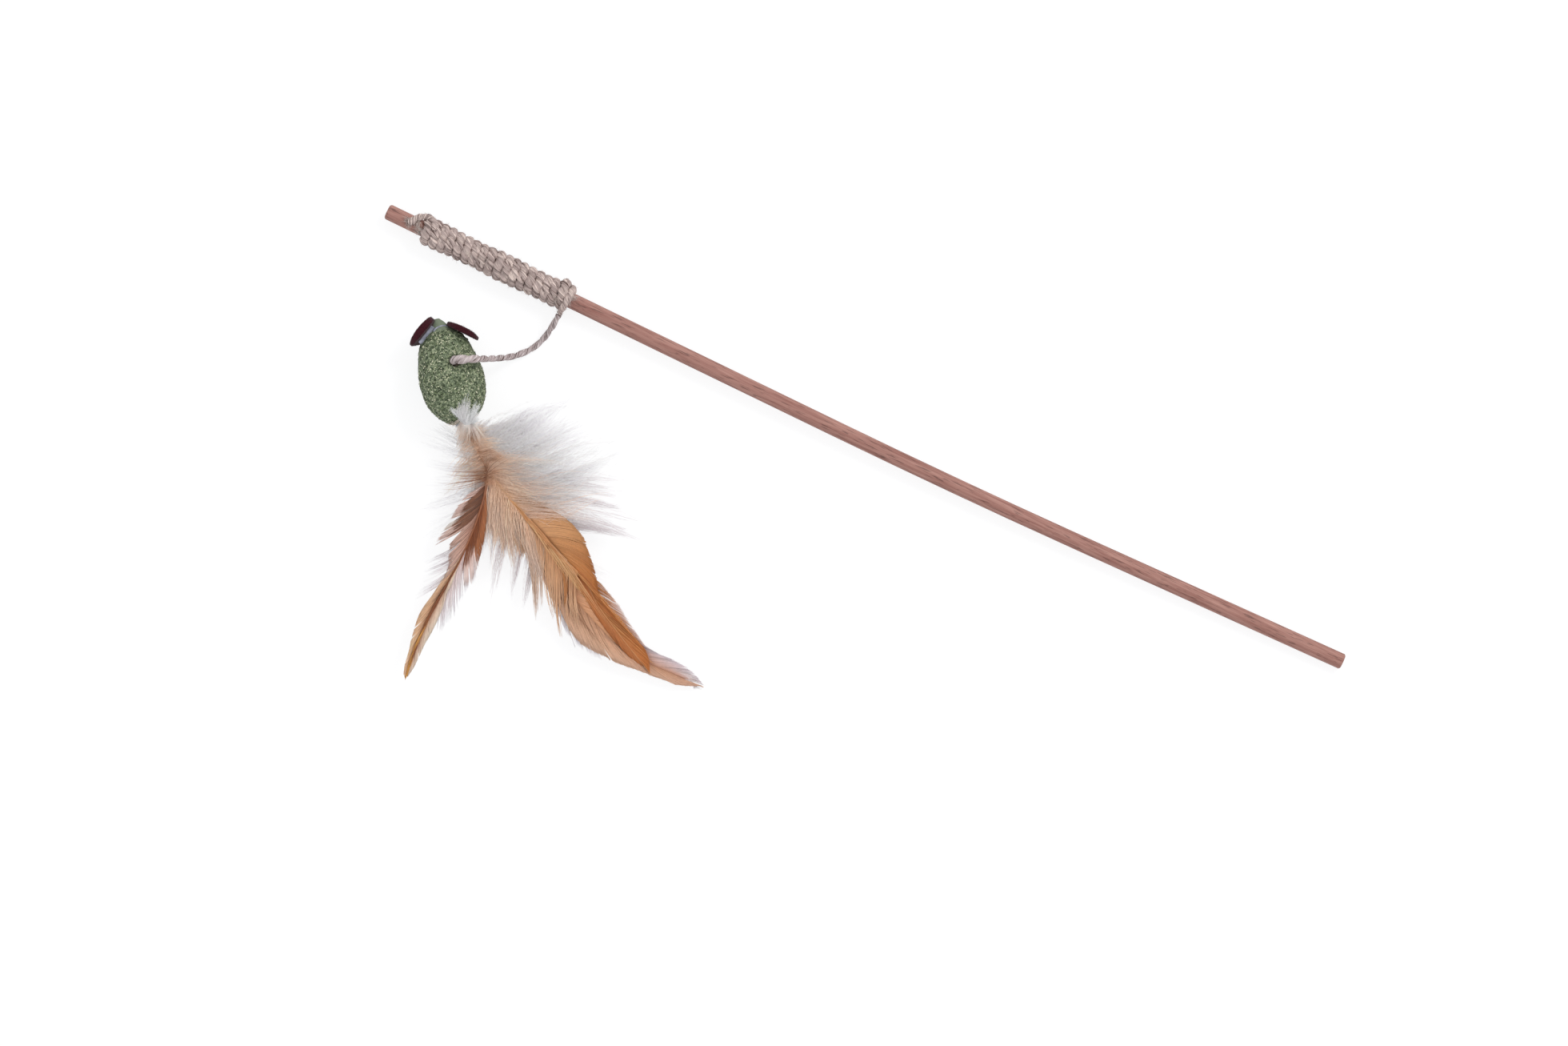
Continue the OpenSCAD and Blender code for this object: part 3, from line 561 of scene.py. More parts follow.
wood, t, shader = new_finish("stick_wood", rough=0.62, gloss=0.3)
place = place_on(t)
grain_way = node(t, "ShaderNodeMapping", [("Vector", place)], Scale=(45, 900, 900)).outputs[0]
figure = speckle(t, grain_way, 1.0, detail=6.0, rough=0.6)
pore_way = node(t, "ShaderNodeMapping", [("Vector", place)], Scale=(170, 2300, 2300)).outputs[0]
pores = spread(t, speckle(t, pore_way, 1.0), 0.34, 0.42, least=0.55, most=1.0, smooth=True)
wood_tint = tint_row(t, figure, (0.3, (147, 97, 87)), (0.72, (194, 147, 135)))
coat(t, shader, times(t, wood_tint, pores), pores, strength=0.35, depth=0.0001)
give("wand_stick", wood)

# Mouse. Dried catnip leaf is chopped, wetted and pressed in a mould to a hard egg. Its nose is smooth
# from the mould, and the rest shows pale straw and leaf flakes that lie every way.
NOSE = np.array([34.7096, -28.588])
HEADING = math.radians(-49.6)
MIDDLE = 11.45  # height of the mouse's middle line
NOSE_SMOOTH, NOSE_BLEND = 4, 4
FULL_AT, FULL_OVER, FULL_BY = 4.5, 4, 0.0011  # the cheeks are a little fuller than an egg's end
nose_spot = Vector(spot(*NOSE, MIDDLE))
tailward = Vector((math.cos(HEADING), math.sin(HEADING), 0))


def evened(source, voxel, passes):
    """A CAD node's form as an even skin of small faces, smoothed a few times."""
    bm = bmesh.new()
    bm.from_mesh(nodes[source].data)
    bmesh.ops.remove_doubles(bm, verts=bm.verts, dist=1e-6)
    blank = piece(source + "_blank", bm)
    even = blank.modifiers.new("even", "REMESH")
    even.mode, even.voxel_size = "VOXEL", voxel / 1000
    skin = blank.evaluated_get(bpy.context.evaluated_depsgraph_get())
    bm = bmesh.new()
    bm.from_mesh(bpy.data.meshes.new_from_object(skin))
    bpy.data.objects.remove(blank)
    for _ in range(passes):
        bmesh.ops.smooth_vert(bm, verts=bm.verts, factor=0.5,
                              use_axis_x=True, use_axis_y=True, use_axis_z=True)
    bm.normal_update()
    return bm


bm = evened("mouse_body", voxel=0.42, passes=2)
for v in bm.verts:
    p = v.co * 1000
    clear = min(1, max(0, ((v.co - nose_spot).length * 1000 - NOSE_SMOOTH) / NOSE_BLEND))
    rough = noise.noise(p * 1.1) * 0.13 + noise.noise(p * 0.35) * 0.16
    v.co += v.normal * (rough * (0.25 + 0.75 * clear)) / 1000
    station = (v.co - nose_spot).dot(tailward) * 1000
    around = v.co - nose_spot - tailward * station / 1000
    full = max(0, 1 - ((station - FULL_AT) / FULL_OVER) ** 2)
    v.co += around.normalized() * (full * FULL_BY)
    v.co.z = max(v.co.z, 0.00005)
mouse = piece("mouse", bm)
smooth_faces(mouse)
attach(mouse, "mouse")
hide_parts("mouse_body")
catnip, t, shader = new_finish("pressed_catnip", rough=0.8, gloss=0.3)
place = place_on(t)
from_nose = node(t, "ShaderNodeVectorMath", [(0, place)], operation="DISTANCE")
from_nose.inputs[1].default_value = nose_spot
cap = spread(t, from_nose.outputs["Value"], 0.0058, 0.0078, smooth=True)
leaf = speckle(t, place, 950.0, detail=3.0, rough=0.7)
leaf_tint = tint_row(t, leaf, (0.36, (52, 62, 42)), (0.5, (112, 124, 98)), (0.66, (176, 184, 150)))
leafy = times(t, leaf_tint, spread(t, speckle(t, place, 160.0), least=0.8, most=1.2))
coat(t, shader, mixed(t, cap, (128, 139, 118), leafy), leaf, strength=0.6, depth=0.0003)
mouse.data.materials.append(catnip)


def fur(name, skin, template, count, reach, stand, wide, thick, seed, tints, material, keep=None):
    """Short fibres or flakes on a skin. Stand is how far they rise off it, as a share."""
    rng = np.random.default_rng(seed)
    polygons = skin.data.polygons
    centres, normals = np.zeros(len(polygons) * 3), np.zeros(len(polygons) * 3)
    polygons.foreach_get("center", centres)
    polygons.foreach_get("normal", normals)
    centres, normals = centres.reshape(-1, 3), normals.reshape(-1, 3)
    pool = np.arange(len(polygons)) if keep is None else np.flatnonzero(keep(centres))
    pick = rng.choice(pool, count)
    out = normals[pick]
    root = centres[pick] + rng.normal(0, 0.00012, (count, 3)) - out * 0.00004
    lean = unit(np.cross(out, rng.normal(size=(count, 3))))
    length = (reach * rng.uniform(0.35, 1, count) / 1000)[:, None]
    middle = root + (out * stand + lean * (1 - stand) + out * 0.12) * length * 0.5
    tip = root + (out * stand + lean * (1 - stand)) * length
    tint = tints[rng.integers(0, len(tints), count)] * rng.uniform(0.85, 1.1, (count, 1))
    size = rng.uniform(0.6, 1.2, count) / 1000
    face = unit(out + rng.normal(0, 0.25, (count, 3)))
    return strewn(name, template, root, middle, tip, face, size * wide, size * thick, (tint, tint), material)


def off_nose(p):
    """Where flakes lie: past the smooth nose and above the flat belly."""
    return (np.linalg.norm(p - np.array(nose_spot), axis=1) > 0.0078) & (p[:, 2] > 0.0012)


flake = bristle("leaf_flake", steps=2, sides=4, tip=0.55, belly=0.4)
LEAF_TINTS = dyes((226, 228, 190), (168, 182, 140), (132, 148, 106), (88, 102, 68), (250, 248, 216),
                  (50, 62, 38), (104, 120, 82), (64, 78, 50))
leaf_flake = dyed_finish("leaf_flake", rough=0.7, gloss=0.35)
flakes = fur("catnip_flakes", mouse, flake, count=8600, reach=1.1, stand=0.05, wide=0.3, thick=0.05, seed=17,
             tints=LEAF_TINTS, material=leaf_flake, keep=off_nose)
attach(flakes, "mouse")

# Feathers. Three dyed cock feathers are glued by their quills in the mouse's tail end. Each has loose
# down at its base, and higher up flat barbs that part into pointed locks along the edge of the vane.
FEATHER_ROOT = np.array([61.736, -60.344])
LONGEST = 134
LAYER = 1.7  # the feathers lie over each other by this much
DROOP = 8.4  # how far the longest one's tip sinks below its root


def feather_line(heading, length, level, strays):
    """The quill's middle line: a place in millimetres for each share of its length."""
    table, a = np.array(strays), math.radians(heading)

    def at(s):
        x, y = length * s, length * smooth_column(s, table[:, 0], table[:, 1])
        z = MIDDLE + LAYER * level - DROOP * (x**2 + y**2) / LONGEST**2
        return np.stack([FEATHER_ROOT[0] + x * math.cos(a) - y * math.sin(a),
                         FEATHER_ROOT[1] + x * math.sin(a) + y * math.cos(a), z], axis=1)
    return at


def stations(points, f):
    """Points at shares f of the way along a line of given points."""
    rows = np.array(points, float)
    far = distances(rows)
    return np.stack([np.interp(f * far[-1], far, rows[:, k]) for k in range(rows.shape[1])], axis=1)


def tints_along(row, f):
    """The colours of barbs at shares f of a stretch, from one colour or from a row of them."""
    row = dyes(*(row if isinstance(row, list) else [row, row]))
    return np.stack([np.interp(f, np.linspace(0, 1, len(row)), row[:, k]) for k in range(3)], axis=1)


def barbs(rng, at, along, count, root, tip, ends, bow=0.1, rise=(-0.2, 0.3), dome=0.0, wide=0.5, thick=0.06,
          locks=0, pull=0.5, rag=0.02, blur=0.0, shade=0.06, tilt=0.06, wave=0.02, lift=0.0, past=0.0):
    """A stretch of barbs, in millimetres and in colours as they are seen. They leave the quill along
    two shares of its length, root is their colour there and tip their colour at their ends, which
    lie on the line of ends. Each barb bows to the side by bow and wave as shares of its length,
    rises by rise and humps up by dome. Locks draw neighbours to a common point with a pull, rag
    and blur make the ends uneven, shade and tilt vary their tone and the way their flat side
    looks, lift starts the barbs above the quill, and past starts them beyond its middle."""
    f = np.sort((np.arange(count) + rng.uniform(-0.4, 0.4, count)) / count).clip(0, 1)
    base = at(along[0] + (along[1] - along[0]) * f)
    base[:, 2] += lift
    end = stations(ends, f)
    if locks:
        edges = np.sort(rng.uniform(0, 1, locks))
        which = np.searchsorted(edges, f)
        middles = (np.append(0, edges) + np.append(edges, 1)) / 2
        common = stations(ends, middles[which])
        strength = pull * rng.uniform(0.5, 1.0, locks + 1)[which][:, None]
        end = end * (1 - strength) + common * strength
        end = end + (end - base[:, :2]) * (rng.normal(0, rag, locks + 1)[which] * 1.2)[:, None]
    end = end + (end - base[:, :2]) * np.clip(rng.normal(0, rag, count), -3 * rag, 2 * rag)[:, None]
    end = end + rng.normal(0, 1, (count, 2)) * blur
    reach = end - base[:, :2]
    base[:, :2] -= unit(reach) * past
    square = np.stack([-reach[:, 1], reach[:, 0]], axis=1)
    half = base[:, :2] + reach * 0.5 + square * (bow + rng.normal(0, wave, count))[:, None]
    end_z = np.maximum(base[:, 2] + rng.uniform(rise[0], rise[1], count), 0.25)
    half_z = np.maximum((base[:, 2] + end_z) / 2 + dome * rng.uniform(0.6, 1.2, count), 0.3)
    base = (base + TIP) / 1000
    half = (np.column_stack([half, half_z]) + TIP) / 1000
    end = (np.column_stack([end, end_z]) + TIP) / 1000
    face = unit(np.array([0, 0, 1.0]) + rng.normal(0, tilt, (count, 3)))
    bright = (1 + rng.normal(0, shade, count))[:, None]
    if locks:
        bright = bright * (1 + rng.normal(0, shade, locks + 1)[which])[:, None]
    first, last = (tints_along(row, f) * bright for row in (root, tip))
    wide = wide * rng.uniform(0.75, 1.25, count) / 1000
    return base, half, end, face, wide, np.full(count, thick / 1000), first, last


def plumage(name, template, finish, rng, at, stretches, **usual):
    """All of a piece's stretches of barbs as one mesh. usual is what most of them share."""
    whole = [np.concatenate(rows) for rows in zip(*[barbs(rng, at, **(usual | row)) for row in stretches])]
    return strewn(name, template, *whole[:6], (whole[6].clip(0, 1), whole[7].clip(0, 1)), finish)


def downy(name, steps, barbules, reach):
    """A down barb: a thin stem with short soft barbules on both sides of its lower part."""
    bm = bmesh.new()
    bm.from_mesh(bristle(name + "_stem", steps, sides=3, tip=0.25))
    rng = np.random.default_rng(4)
    for k in range(barbules):
        s = 0.04 + 0.8 * (k + rng.uniform(0, 0.7)) / barbules
        side = (-1) ** k * reach * (1 - 0.7 * s) * rng.uniform(0.5, 1)
        made = bmesh.ops.create_cone(bm, segments=3, radius1=0.35, radius2=0.0, depth=1,
                                     cap_ends=True)["verts"]
        lift = rng.uniform(-0.5, 0.5)
        for v in made:
            if v.co.z < 0:
                v.co = Vector((s + v.co.x * 0.012, 0, v.co.y * 0.6))
            else:
                v.co = Vector((s + rng.uniform(0.03, 0.07), side, lift * abs(side)))
    bmesh.ops.recalc_face_normals(bm, faces=bm.faces)
    return mesh_of(name, bm)


vane_barb = bristle("vane_barb", steps=6, sides=3, tip=0.2, belly=0.35)
down_barb = downy("down_barb", steps=5, barbules=9, reach=8)
# For each quill, how far it strays to the side at shares of its length, as shares too
brown_at = feather_line(heading=-76.9, length=97, level=1, strays=[
    [0, 0], [0.075, 0.072], [0.16, 0.13], [0.245, 0.139], [0.35, 0.131], [0.45, 0.115], [0.55, 0.092],
    [0.65, 0.061], [0.75, 0.032], [0.85, 0.013], [1, 0],
])
gold_at = feather_line(heading=-27.2, length=117, level=0, strays=[
    [0, 0], [0.09, -0.013], [0.165, -0.026], [0.27, -0.026], [0.38, -0.017], [0.52, -0.003],
    [0.63, 0.011], [0.74, -0.004], [0.85, -0.004], [1, 0],
])
rose_at = feather_line(heading=-21.7, length=LONGEST, level=-1, strays=[
    [0, 0], [0.14, -0.044], [0.3, -0.07], [0.465, -0.092], [0.59, -0.102], [0.71, -0.102],
    [0.81, -0.084], [0.905, -0.043], [1, 0],
])

# Brown feather, the uppermost, a natural hackle: chocolate at the top of its vane, orange at the blade,
# and pale lavender where the barbs have come apart. Its base is a tuft of white and tan down.
rng = np.random.default_rng(21)
brown_barbs = dyed_finish("brown_barbs", rough=0.6, gloss=0.3, sheen=0.1)
brown_vane = plumage("brown_barb_vane", vane_barb, brown_barbs, rng, brown_at, [
    # Outer side of the vane, upper half
    dict(along=(0.19, 0.335), count=300, root=(158, 98, 72), tip=(250, 216, 204, 1), bow=0.07,
         rise=(-0.4, 0.3), locks=12, rag=0.03, shade=0.14,
         ends=[(76.8, -80.3), (74.9, -82), (73.6, -85), (73.1, -89), (73, -95), (72.1, -101.3),
               (72.4, -104.4), (74, -102)]),
    # Darker barbs over it, laid as painted shade along the outer side of the quill
    dict(along=(0.2, 0.32), count=150, root=(112, 68, 46), tip=(168, 116, 90), bow=0.07, rise=(0.3, 0.6),
         wide=0.26, locks=9, rag=0.1, shade=0.1,
         ends=[(76, -84), (75, -89), (75, -95), (75.2, -100)]),
    # Its lower locks
    dict(along=(0.3, 0.47), count=260, root=(180, 118, 90), tip=(240, 200, 184), bow=0.06,
         rise=(-0.3, 0.4), locks=7, pull=0.3, shade=0.11,
         ends=[(77.5, -99), (76.4, -103.1), (77.2, -105), (78, -106.3), (79, -108.5), (79.6, -110),
               (79.9, -113.8), (80.2, -117)]),
    # Inner side, upper half
    dict(along=(0.185, 0.36), count=340, root=(166, 98, 62), tip=(190, 118, 74), bow=-0.09, locks=5,
         pull=0.12, rag=0.012, shade=0.08,
         ends=[(79.4, -78), (82.2, -82.5), (84.5, -87), (86.3, -92), (87.6, -96.3), (88.8, -101.3),
               (89.4, -105.6)]),
    # Pale corner where the inner side ends
    dict(along=(0.34, 0.42), count=130, root=(210, 140, 100), tip=(255, 232, 226, 1), bow=-0.08,
         rise=(-0.3, 0.1), wide=0.4, locks=5, pull=0.3, rag=0.03,
         ends=[(89.2, -103.5), (89.6, -107), (89.5, -110.6), (88.2, -115.5)]),
    # Dark barbs over the inner side
    dict(along=(0.2, 0.42), count=90, root=(132, 72, 42), tip=(160, 92, 54), bow=-0.05, rise=(0.1, 0.4),
         wide=0.3, rag=0.08, shade=0.1,
         ends=[(80, -80), (83.5, -90), (85.2, -98), (86, -104), (85.2, -110)]),
    # Outer side of the blade
    dict(along=(0.41, 0.93), count=440, root=(214, 140, 92), tip=(255, 212, 172, 1), bow=0.05, locks=5,
         pull=0.1, rag=0.012, shade=0.07,
         ends=[(80, -115), (78.9, -123), (78, -127.5), (77.5, -132), (77.9, -136.3), (78.9, -141.3),
               (80, -145.6), (80.8, -150.6), (82.1, -154.6), (83.5, -156)]),
    # Inner side of the blade
    dict(along=(0.44, 0.93), count=420, root=(218, 150, 104), tip=(255, 232, 212, 1), bow=-0.05, locks=5,
         pull=0.1, rag=0.012, shade=0.07,
         ends=[(83.8, -117), (83.4, -122.5), (84.6, -126.3), (84.9, -131.3), (84.8, -136.3),
               (84.4, -141.3), (84.5, -146.3), (84.6, -150.6), (83.9, -155.6)]),
    # Orange tip
    dict(along=(0.7, 0.94), count=150, root=(222, 152, 76), tip=(236, 168, 84), bow=0.03, rise=(0.1, 0.3),
         wide=0.36, shade=0.07,
         ends=[(81.2, -143), (82, -150), (83, -155), (83.6, -156.5)]),
    # Dark barbs beside the quill
    dict(along=(0.42, 0.86), count=80, root=(150, 88, 54), tip=(176, 108, 66), bow=0.04,
         rise=(0.15, 0.35), wide=0.28, rag=0.1, shade=0.1,
         ends=[(82.2, -116), (80.8, -128), (81.2, -140), (82.8, -152)]),
    # Loose pale barbs below the inner side
    dict(along=(0.38, 0.62), count=230, root=(236, 204, 198, 1), tip=(255, 249, 254, 1), bow=-0.06,
         rise=(-1.0, 0), wide=0.24, locks=14, rag=0.05, shade=0.05,
         ends=[(89.8, -107), (90, -112), (89.6, -117), (89.3, -122), (88.6, -127), (87.4, -132.4),
               (85.8, -134)]),
    # Loose pale barbs below the outer side
    dict(along=(0.4, 0.56), count=80, root=(226, 204, 198), tip=(252, 244, 250), rise=(-1, 0), wide=0.18,
         locks=6, pull=0.7, rag=0.12, shade=0.05,
         ends=[(75, -105), (76, -108), (74.8, -112.5), (74, -117), (75, -121), (77.5, -124.4)]),
    # Strands at the knot, to the left
    dict(along=(0.15, 0.19), count=14, root=(134, 82, 54), tip=(204, 148, 114), bow=0.05, rise=(1.0, 1.8),
         wide=0.22, thick=0.14, rag=0.2, blur=0.6, wave=0.06, lift=2.6,
         ends=[(66.4, -75.5), (66, -78), (66.3, -80), (66.1, -82.5), (69, -84)]),
    # Strands at the knot, to the right
    dict(along=(0.14, 0.18), count=9, root=(156, 100, 68), tip=(216, 164, 130), bow=0.05, rise=(1.2, 2.2),
         wide=0.2, thick=0.14, rag=0.3, blur=0.9, wave=0.12, lift=2.6,
         ends=[(71, -67), (76, -64.5), (81, -65), (84, -68), (82, -73)]),
], rise=(-0.3, 0.2), wide=0.42)
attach(brown_vane, "brown_feather")
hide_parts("brown_vane")

white_down = dyed_finish("white_down", rough=0.9, gloss=0.1, sheen=0.3)
SNOW, LAVENDER, CREAM, PINK = (255, 252, 252, 1), (251, 246, 253, 1), (255, 243, 238, 1), (252, 232, 222, 1)
BUFF, TAN, UMBER = (252, 226, 206, 1), (246, 204, 172, 1), (206, 144, 106)
brown_down = plumage("brown_feather_down", down_barb, white_down, rng, brown_at, [
    # White down beside the rump
    dict(along=(0.02, 0.16), count=170, root=SNOW, tip=LAVENDER, rise=(-8, -3), thick=0.1, locks=14,
         pull=0.4, wave=0.1,
         ends=[(61, -58), (57, -61), (55.5, -66), (55.5, -71), (57.5, -76), (62, -80)]),
    # White down further along
    dict(along=(0.12, 0.26), count=130, root=SNOW, tip=LAVENDER, rise=(-5, -1), thick=0.1, locks=12,
         wave=0.08,
         ends=[(62, -78), (63.5, -84), (64.5, -90), (66, -94), (69, -98), (72.5, -99)]),
    # A few white barbs on the inner side
    dict(along=(0.16, 0.3), count=60, root=PINK, tip=SNOW, bow=-0.1, rise=(-4, -1), thick=0.1, locks=6,
         wave=0.08,
         ends=[(84, -88), (87, -92), (90, -96), (92, -98)]),
    # Tan tuft, inner side
    dict(along=(0.0, 0.17), count=200, root=TAN, tip=BUFF, bow=0.12, rise=(0, 2), dome=1.2, wide=0.12,
         locks=9, pull=0.4, rag=0.2, blur=0.8, wave=0.14, lift=1.0, past=0.7,
         ends=[(69, -57.5), (72, -59), (75, -60.5), (78, -63), (80, -66), (82, -69)]),
    # Tan tuft, outer side
    dict(along=(0.0, 0.17), count=220, root=TAN, tip=BUFF, bow=-0.1, rise=(-1, 2), dome=1.2, wide=0.12,
         locks=9, pull=0.4, rag=0.2, blur=0.8, wave=0.14, lift=1.0, past=0.7,
         ends=[(63, -63), (64, -67), (66, -71), (69, -74.5), (72, -77), (76, -79)]),
    # Umber strands over it, inner side
    dict(along=(0.08, 0.2), count=230, root=(214, 156, 120), tip=(236, 184, 148), dome=0.6, wide=0.13,
         locks=14, pull=0.2, rag=0.3, blur=0.9, wave=0.2, lift=1.0, past=0.7,
         ends=[(72, -66), (76, -65), (81, -67), (83, -71), (82, -76)]),
    # Umber strands over it, outer side
    dict(along=(0.08, 0.2), count=130, root=(206, 148, 112), tip=(236, 184, 148), bow=-0.1, dome=0.6,
         wide=0.13, locks=10, pull=0.2, rag=0.3, blur=0.9, wave=0.2, lift=1.0, past=0.7,
         ends=[(71, -68), (70.5, -72), (71, -76), (74, -79)]),
], rise=(0, 1.6), wide=0.1, thick=0.12, rag=0.15, blur=0.7, tilt=0.2)
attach(brown_down, "brown_feather")
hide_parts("brown_down")

# Gold feather, in the middle: a soft tan veil at its base that turns to an orange blade, with long
# pale ends of down hanging below it. Its barbs and most of its down took the same dye.
rng = np.random.default_rng(33)
gold_barbs = dyed_finish("gold_barbs", rough=0.6, gloss=0.3, sheen=0.1)
gold_vane = plumage("gold_barb_vane", vane_barb, gold_barbs, rng, gold_at, [
    # Tan veil, upper side
    dict(along=(0.26, 0.44), count=430, root=[(228, 174, 130), (228, 168, 118)],
         tip=[(230, 180, 140), (228, 170, 118), (222, 156, 100)], bow=0.13, rise=(-0.6, -0.3), wide=0.6,
         locks=4, pull=0.06, rag=0.012, shade=0.035, tilt=0.04, wave=0.012, lift=0.62, past=0.25,
         ends=[(96, -74.8), (100, -74.4), (104, -74.6), (108, -74.8), (111, -75.2), (115, -76.4),
               (119.7, -78.5), (123, -80.9)]),
    # Its shoulder, where tan turns to orange
    dict(along=(0.42, 0.54), count=300, root=[(228, 168, 118), (220, 150, 92)],
         tip=[(222, 156, 100), (208, 128, 66), (204, 120, 54)], bow=0.13, rise=(-0.6, -0.3), wide=0.6,
         locks=3, pull=0.06, rag=0.01, shade=0.035, tilt=0.04, wave=0.012, lift=0.3, past=0.1,
         ends=[(121.4, -79.6), (125, -82.5), (128.3, -85.9), (131.3, -89.5), (132.9, -91.6),
               (134.5, -94.3), (136.5, -97)]),
    # Upper side of the blade
    dict(along=(0.5, 0.93), count=360, root=(214, 134, 78), tip=(208, 122, 58), bow=0.07, wide=0.46,
         locks=4, pull=0.08, rag=0.01, shade=0.05,
         ends=[(134.6, -94.6), (138.5, -98.4), (142, -100), (146, -101.4), (151, -103.2), (156, -104.8),
               (160, -106.2), (162, -108), (163.9, -110), (165.8, -114)]),
    # Wisps over the base of the veil
    dict(along=(0.14, 0.36), count=110, root=(248, 206, 174, 1), tip=(252, 222, 200, 1), rise=(-0.6, 0.8),
         wide=0.14, locks=14, rag=0.25, blur=0.8, wave=0.12, lift=1.1,
         ends=[(82, -86), (88, -89), (94, -90), (100, -90.5), (106, -91)]),
    # Lower side of the blade
    dict(along=(0.5, 0.94), count=330, root=(206, 128, 76), tip=(198, 118, 64), bow=-0.05,
         rise=(-2.1, -1.7), wide=0.46, locks=4, pull=0.1, rag=0.012, shade=0.05,
         ends=[(126, -96.5), (131, -98.9), (137, -102.8), (143, -106.3), (150, -109.6), (157, -112.2),
               (162, -113.8), (165.6, -114.6)]),
    # Veil, lower side
    dict(along=(0.27, 0.55), count=600, root=[(234, 180, 140), (230, 170, 122)],
         tip=[(242, 196, 164), (234, 174, 130)], rise=(-2.5, -2.0), wide=0.55, locks=8, pull=0.15,
         rag=0.025, shade=0.04, tilt=0.05, lift=0.9, past=0.8,
         ends=[(98, -92), (102, -92.5), (107, -93.4), (111.5, -95), (115, -97.3), (118.6, -100),
               (121.5, -103), (124.6, -107)]),
    # Base of the veil
    dict(along=(0.1, 0.4), count=420, root=[(240, 196, 166, 1), (246, 200, 168, 1), (240, 190, 148, 1)],
         tip=[(250, 220, 200, 1), (250, 214, 188, 1), (246, 202, 160, 1)], rise=(-1.3, -0.9), locks=10,
         pull=0.25, rag=0.05, shade=0.04, lift=0.85, past=0.8,
         ends=[(77, -81), (80, -85), (84, -87.5), (88, -89.5), (93, -91), (99, -91.5), (104, -92)]),
    # Strands over the lower side
    dict(along=(0.29, 0.44), count=170, root=(240, 182, 138), tip=(246, 194, 154), rise=(-1.6, -1.0),
         wide=0.3, locks=12, pull=0.3, rag=0.14, wave=0.03, lift=0.95, past=0.8,
         ends=[(98, -91.8), (103, -92.4), (107, -93.2), (111, -95), (114, -97)]),
    # Bright strands at the blade's upper edge
    dict(along=(0.5, 0.86), count=16, root=(246, 180, 116), tip=(238, 158, 88), bow=0.03,
         rise=(0.2, 0.45), wide=0.2, rag=0.12, shade=0.08, lift=0.2,
         ends=[(150, -102.3), (155, -104.4), (160, -106.8), (164, -110.5)]),
    # Frayed hem of the base
    dict(along=(0.13, 0.38), count=820, root=[(232, 178, 140), (246, 202, 170, 1), (244, 192, 148, 1)],
         tip=[(250, 222, 206, 1), (252, 222, 204, 1), (246, 206, 172, 1)], rise=(-1.6, -0.4), wide=0.2,
         locks=26, pull=0.45, rag=0.12, blur=0.3, shade=0.09, wave=0.06, lift=0.9, past=1.2,
         ends=[(78, -84), (80, -88), (84, -91), (88, -93), (93, -94), (99, -94.3), (104, -94)]),
    # Long ends below the hem
    dict(along=(0.2, 0.4), count=300, root=(236, 186, 146), tip=(248, 222, 206), rise=(-1.2, 0), wide=0.2,
         locks=16, rag=0.12, blur=0.4, shade=0.08, wave=0.04, lift=0.9,
         ends=[(88, -88), (92, -91), (97, -93), (103, -94.5), (109, -96), (113, -98)]),
    # Base of the upper side
    dict(along=(0.12, 0.34), count=420, root=(238, 188, 148), tip=(244, 196, 156), bow=0.1,
         rise=(-0.6, 0.3), wide=0.22, locks=12, pull=0.3, rag=0.1, blur=0.4, wave=0.04, lift=0.95,
         past=1.2,
         ends=[(84, -72.5), (90, -72.5), (94, -73), (99, -74), (106, -75)]),
    # Lock where the blade begins
    dict(along=(0.5, 0.545), count=26, root=(210, 140, 84), tip=(214, 144, 90), bow=0.1, rise=(0.2, 0.5),
         wide=0.3, locks=1,
         ends=[(124.4, -102), (125.4, -104.8), (126.7, -107.3)]),
    # Lock in the notch before it
    dict(along=(0.37, 0.46), count=90, root=(236, 190, 152), tip=(244, 212, 190), bow=-0.06,
         rise=(-0.9, 0), wide=0.24, locks=4, pull=0.6, rag=0.08, shade=0.05, lift=0.4,
         ends=[(112, -103), (114, -107), (116.3, -108.9), (117.5, -106)]),
    # Ridge of strands along the quill
    dict(along=(0.25, 0.56), count=90, root=(230, 174, 126), tip=(226, 156, 100), bow=0.02,
         rise=(-0.1, 0.3), rag=0.16, blur=0.5, shade=0.05, wave=0.03, lift=0.85, past=0.2,
         ends=[(100, -82.6), (112, -87.4), (122, -92.4), (132, -97.4)]),
    # Light strands along the quill
    dict(along=(0.36, 0.56), count=16, root=(250, 200, 146), tip=(248, 192, 132), bow=-0.02,
         rise=(0.2, 0.5), wide=0.2, rag=0.2, blur=0.3, lift=1.25,
         ends=[(118, -93), (126, -96.5), (134, -100), (144, -104)]),
    # Barbs where the blade leaves the rose feather
    dict(along=(0.46, 0.6), count=120, root=(232, 166, 114), tip=(246, 200, 162), rise=(-1.9, -1.4),
         wide=0.4, locks=9, pull=0.2, rag=0.14, blur=0.3, shade=0.04, wave=0.03, lift=0.8, past=0.4,
         ends=[(119, -103), (122.5, -105.6), (126, -107.5), (130, -108), (133, -107)]),
], bow=-0.1)
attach(gold_vane, "gold_feather")
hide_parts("gold_vane")

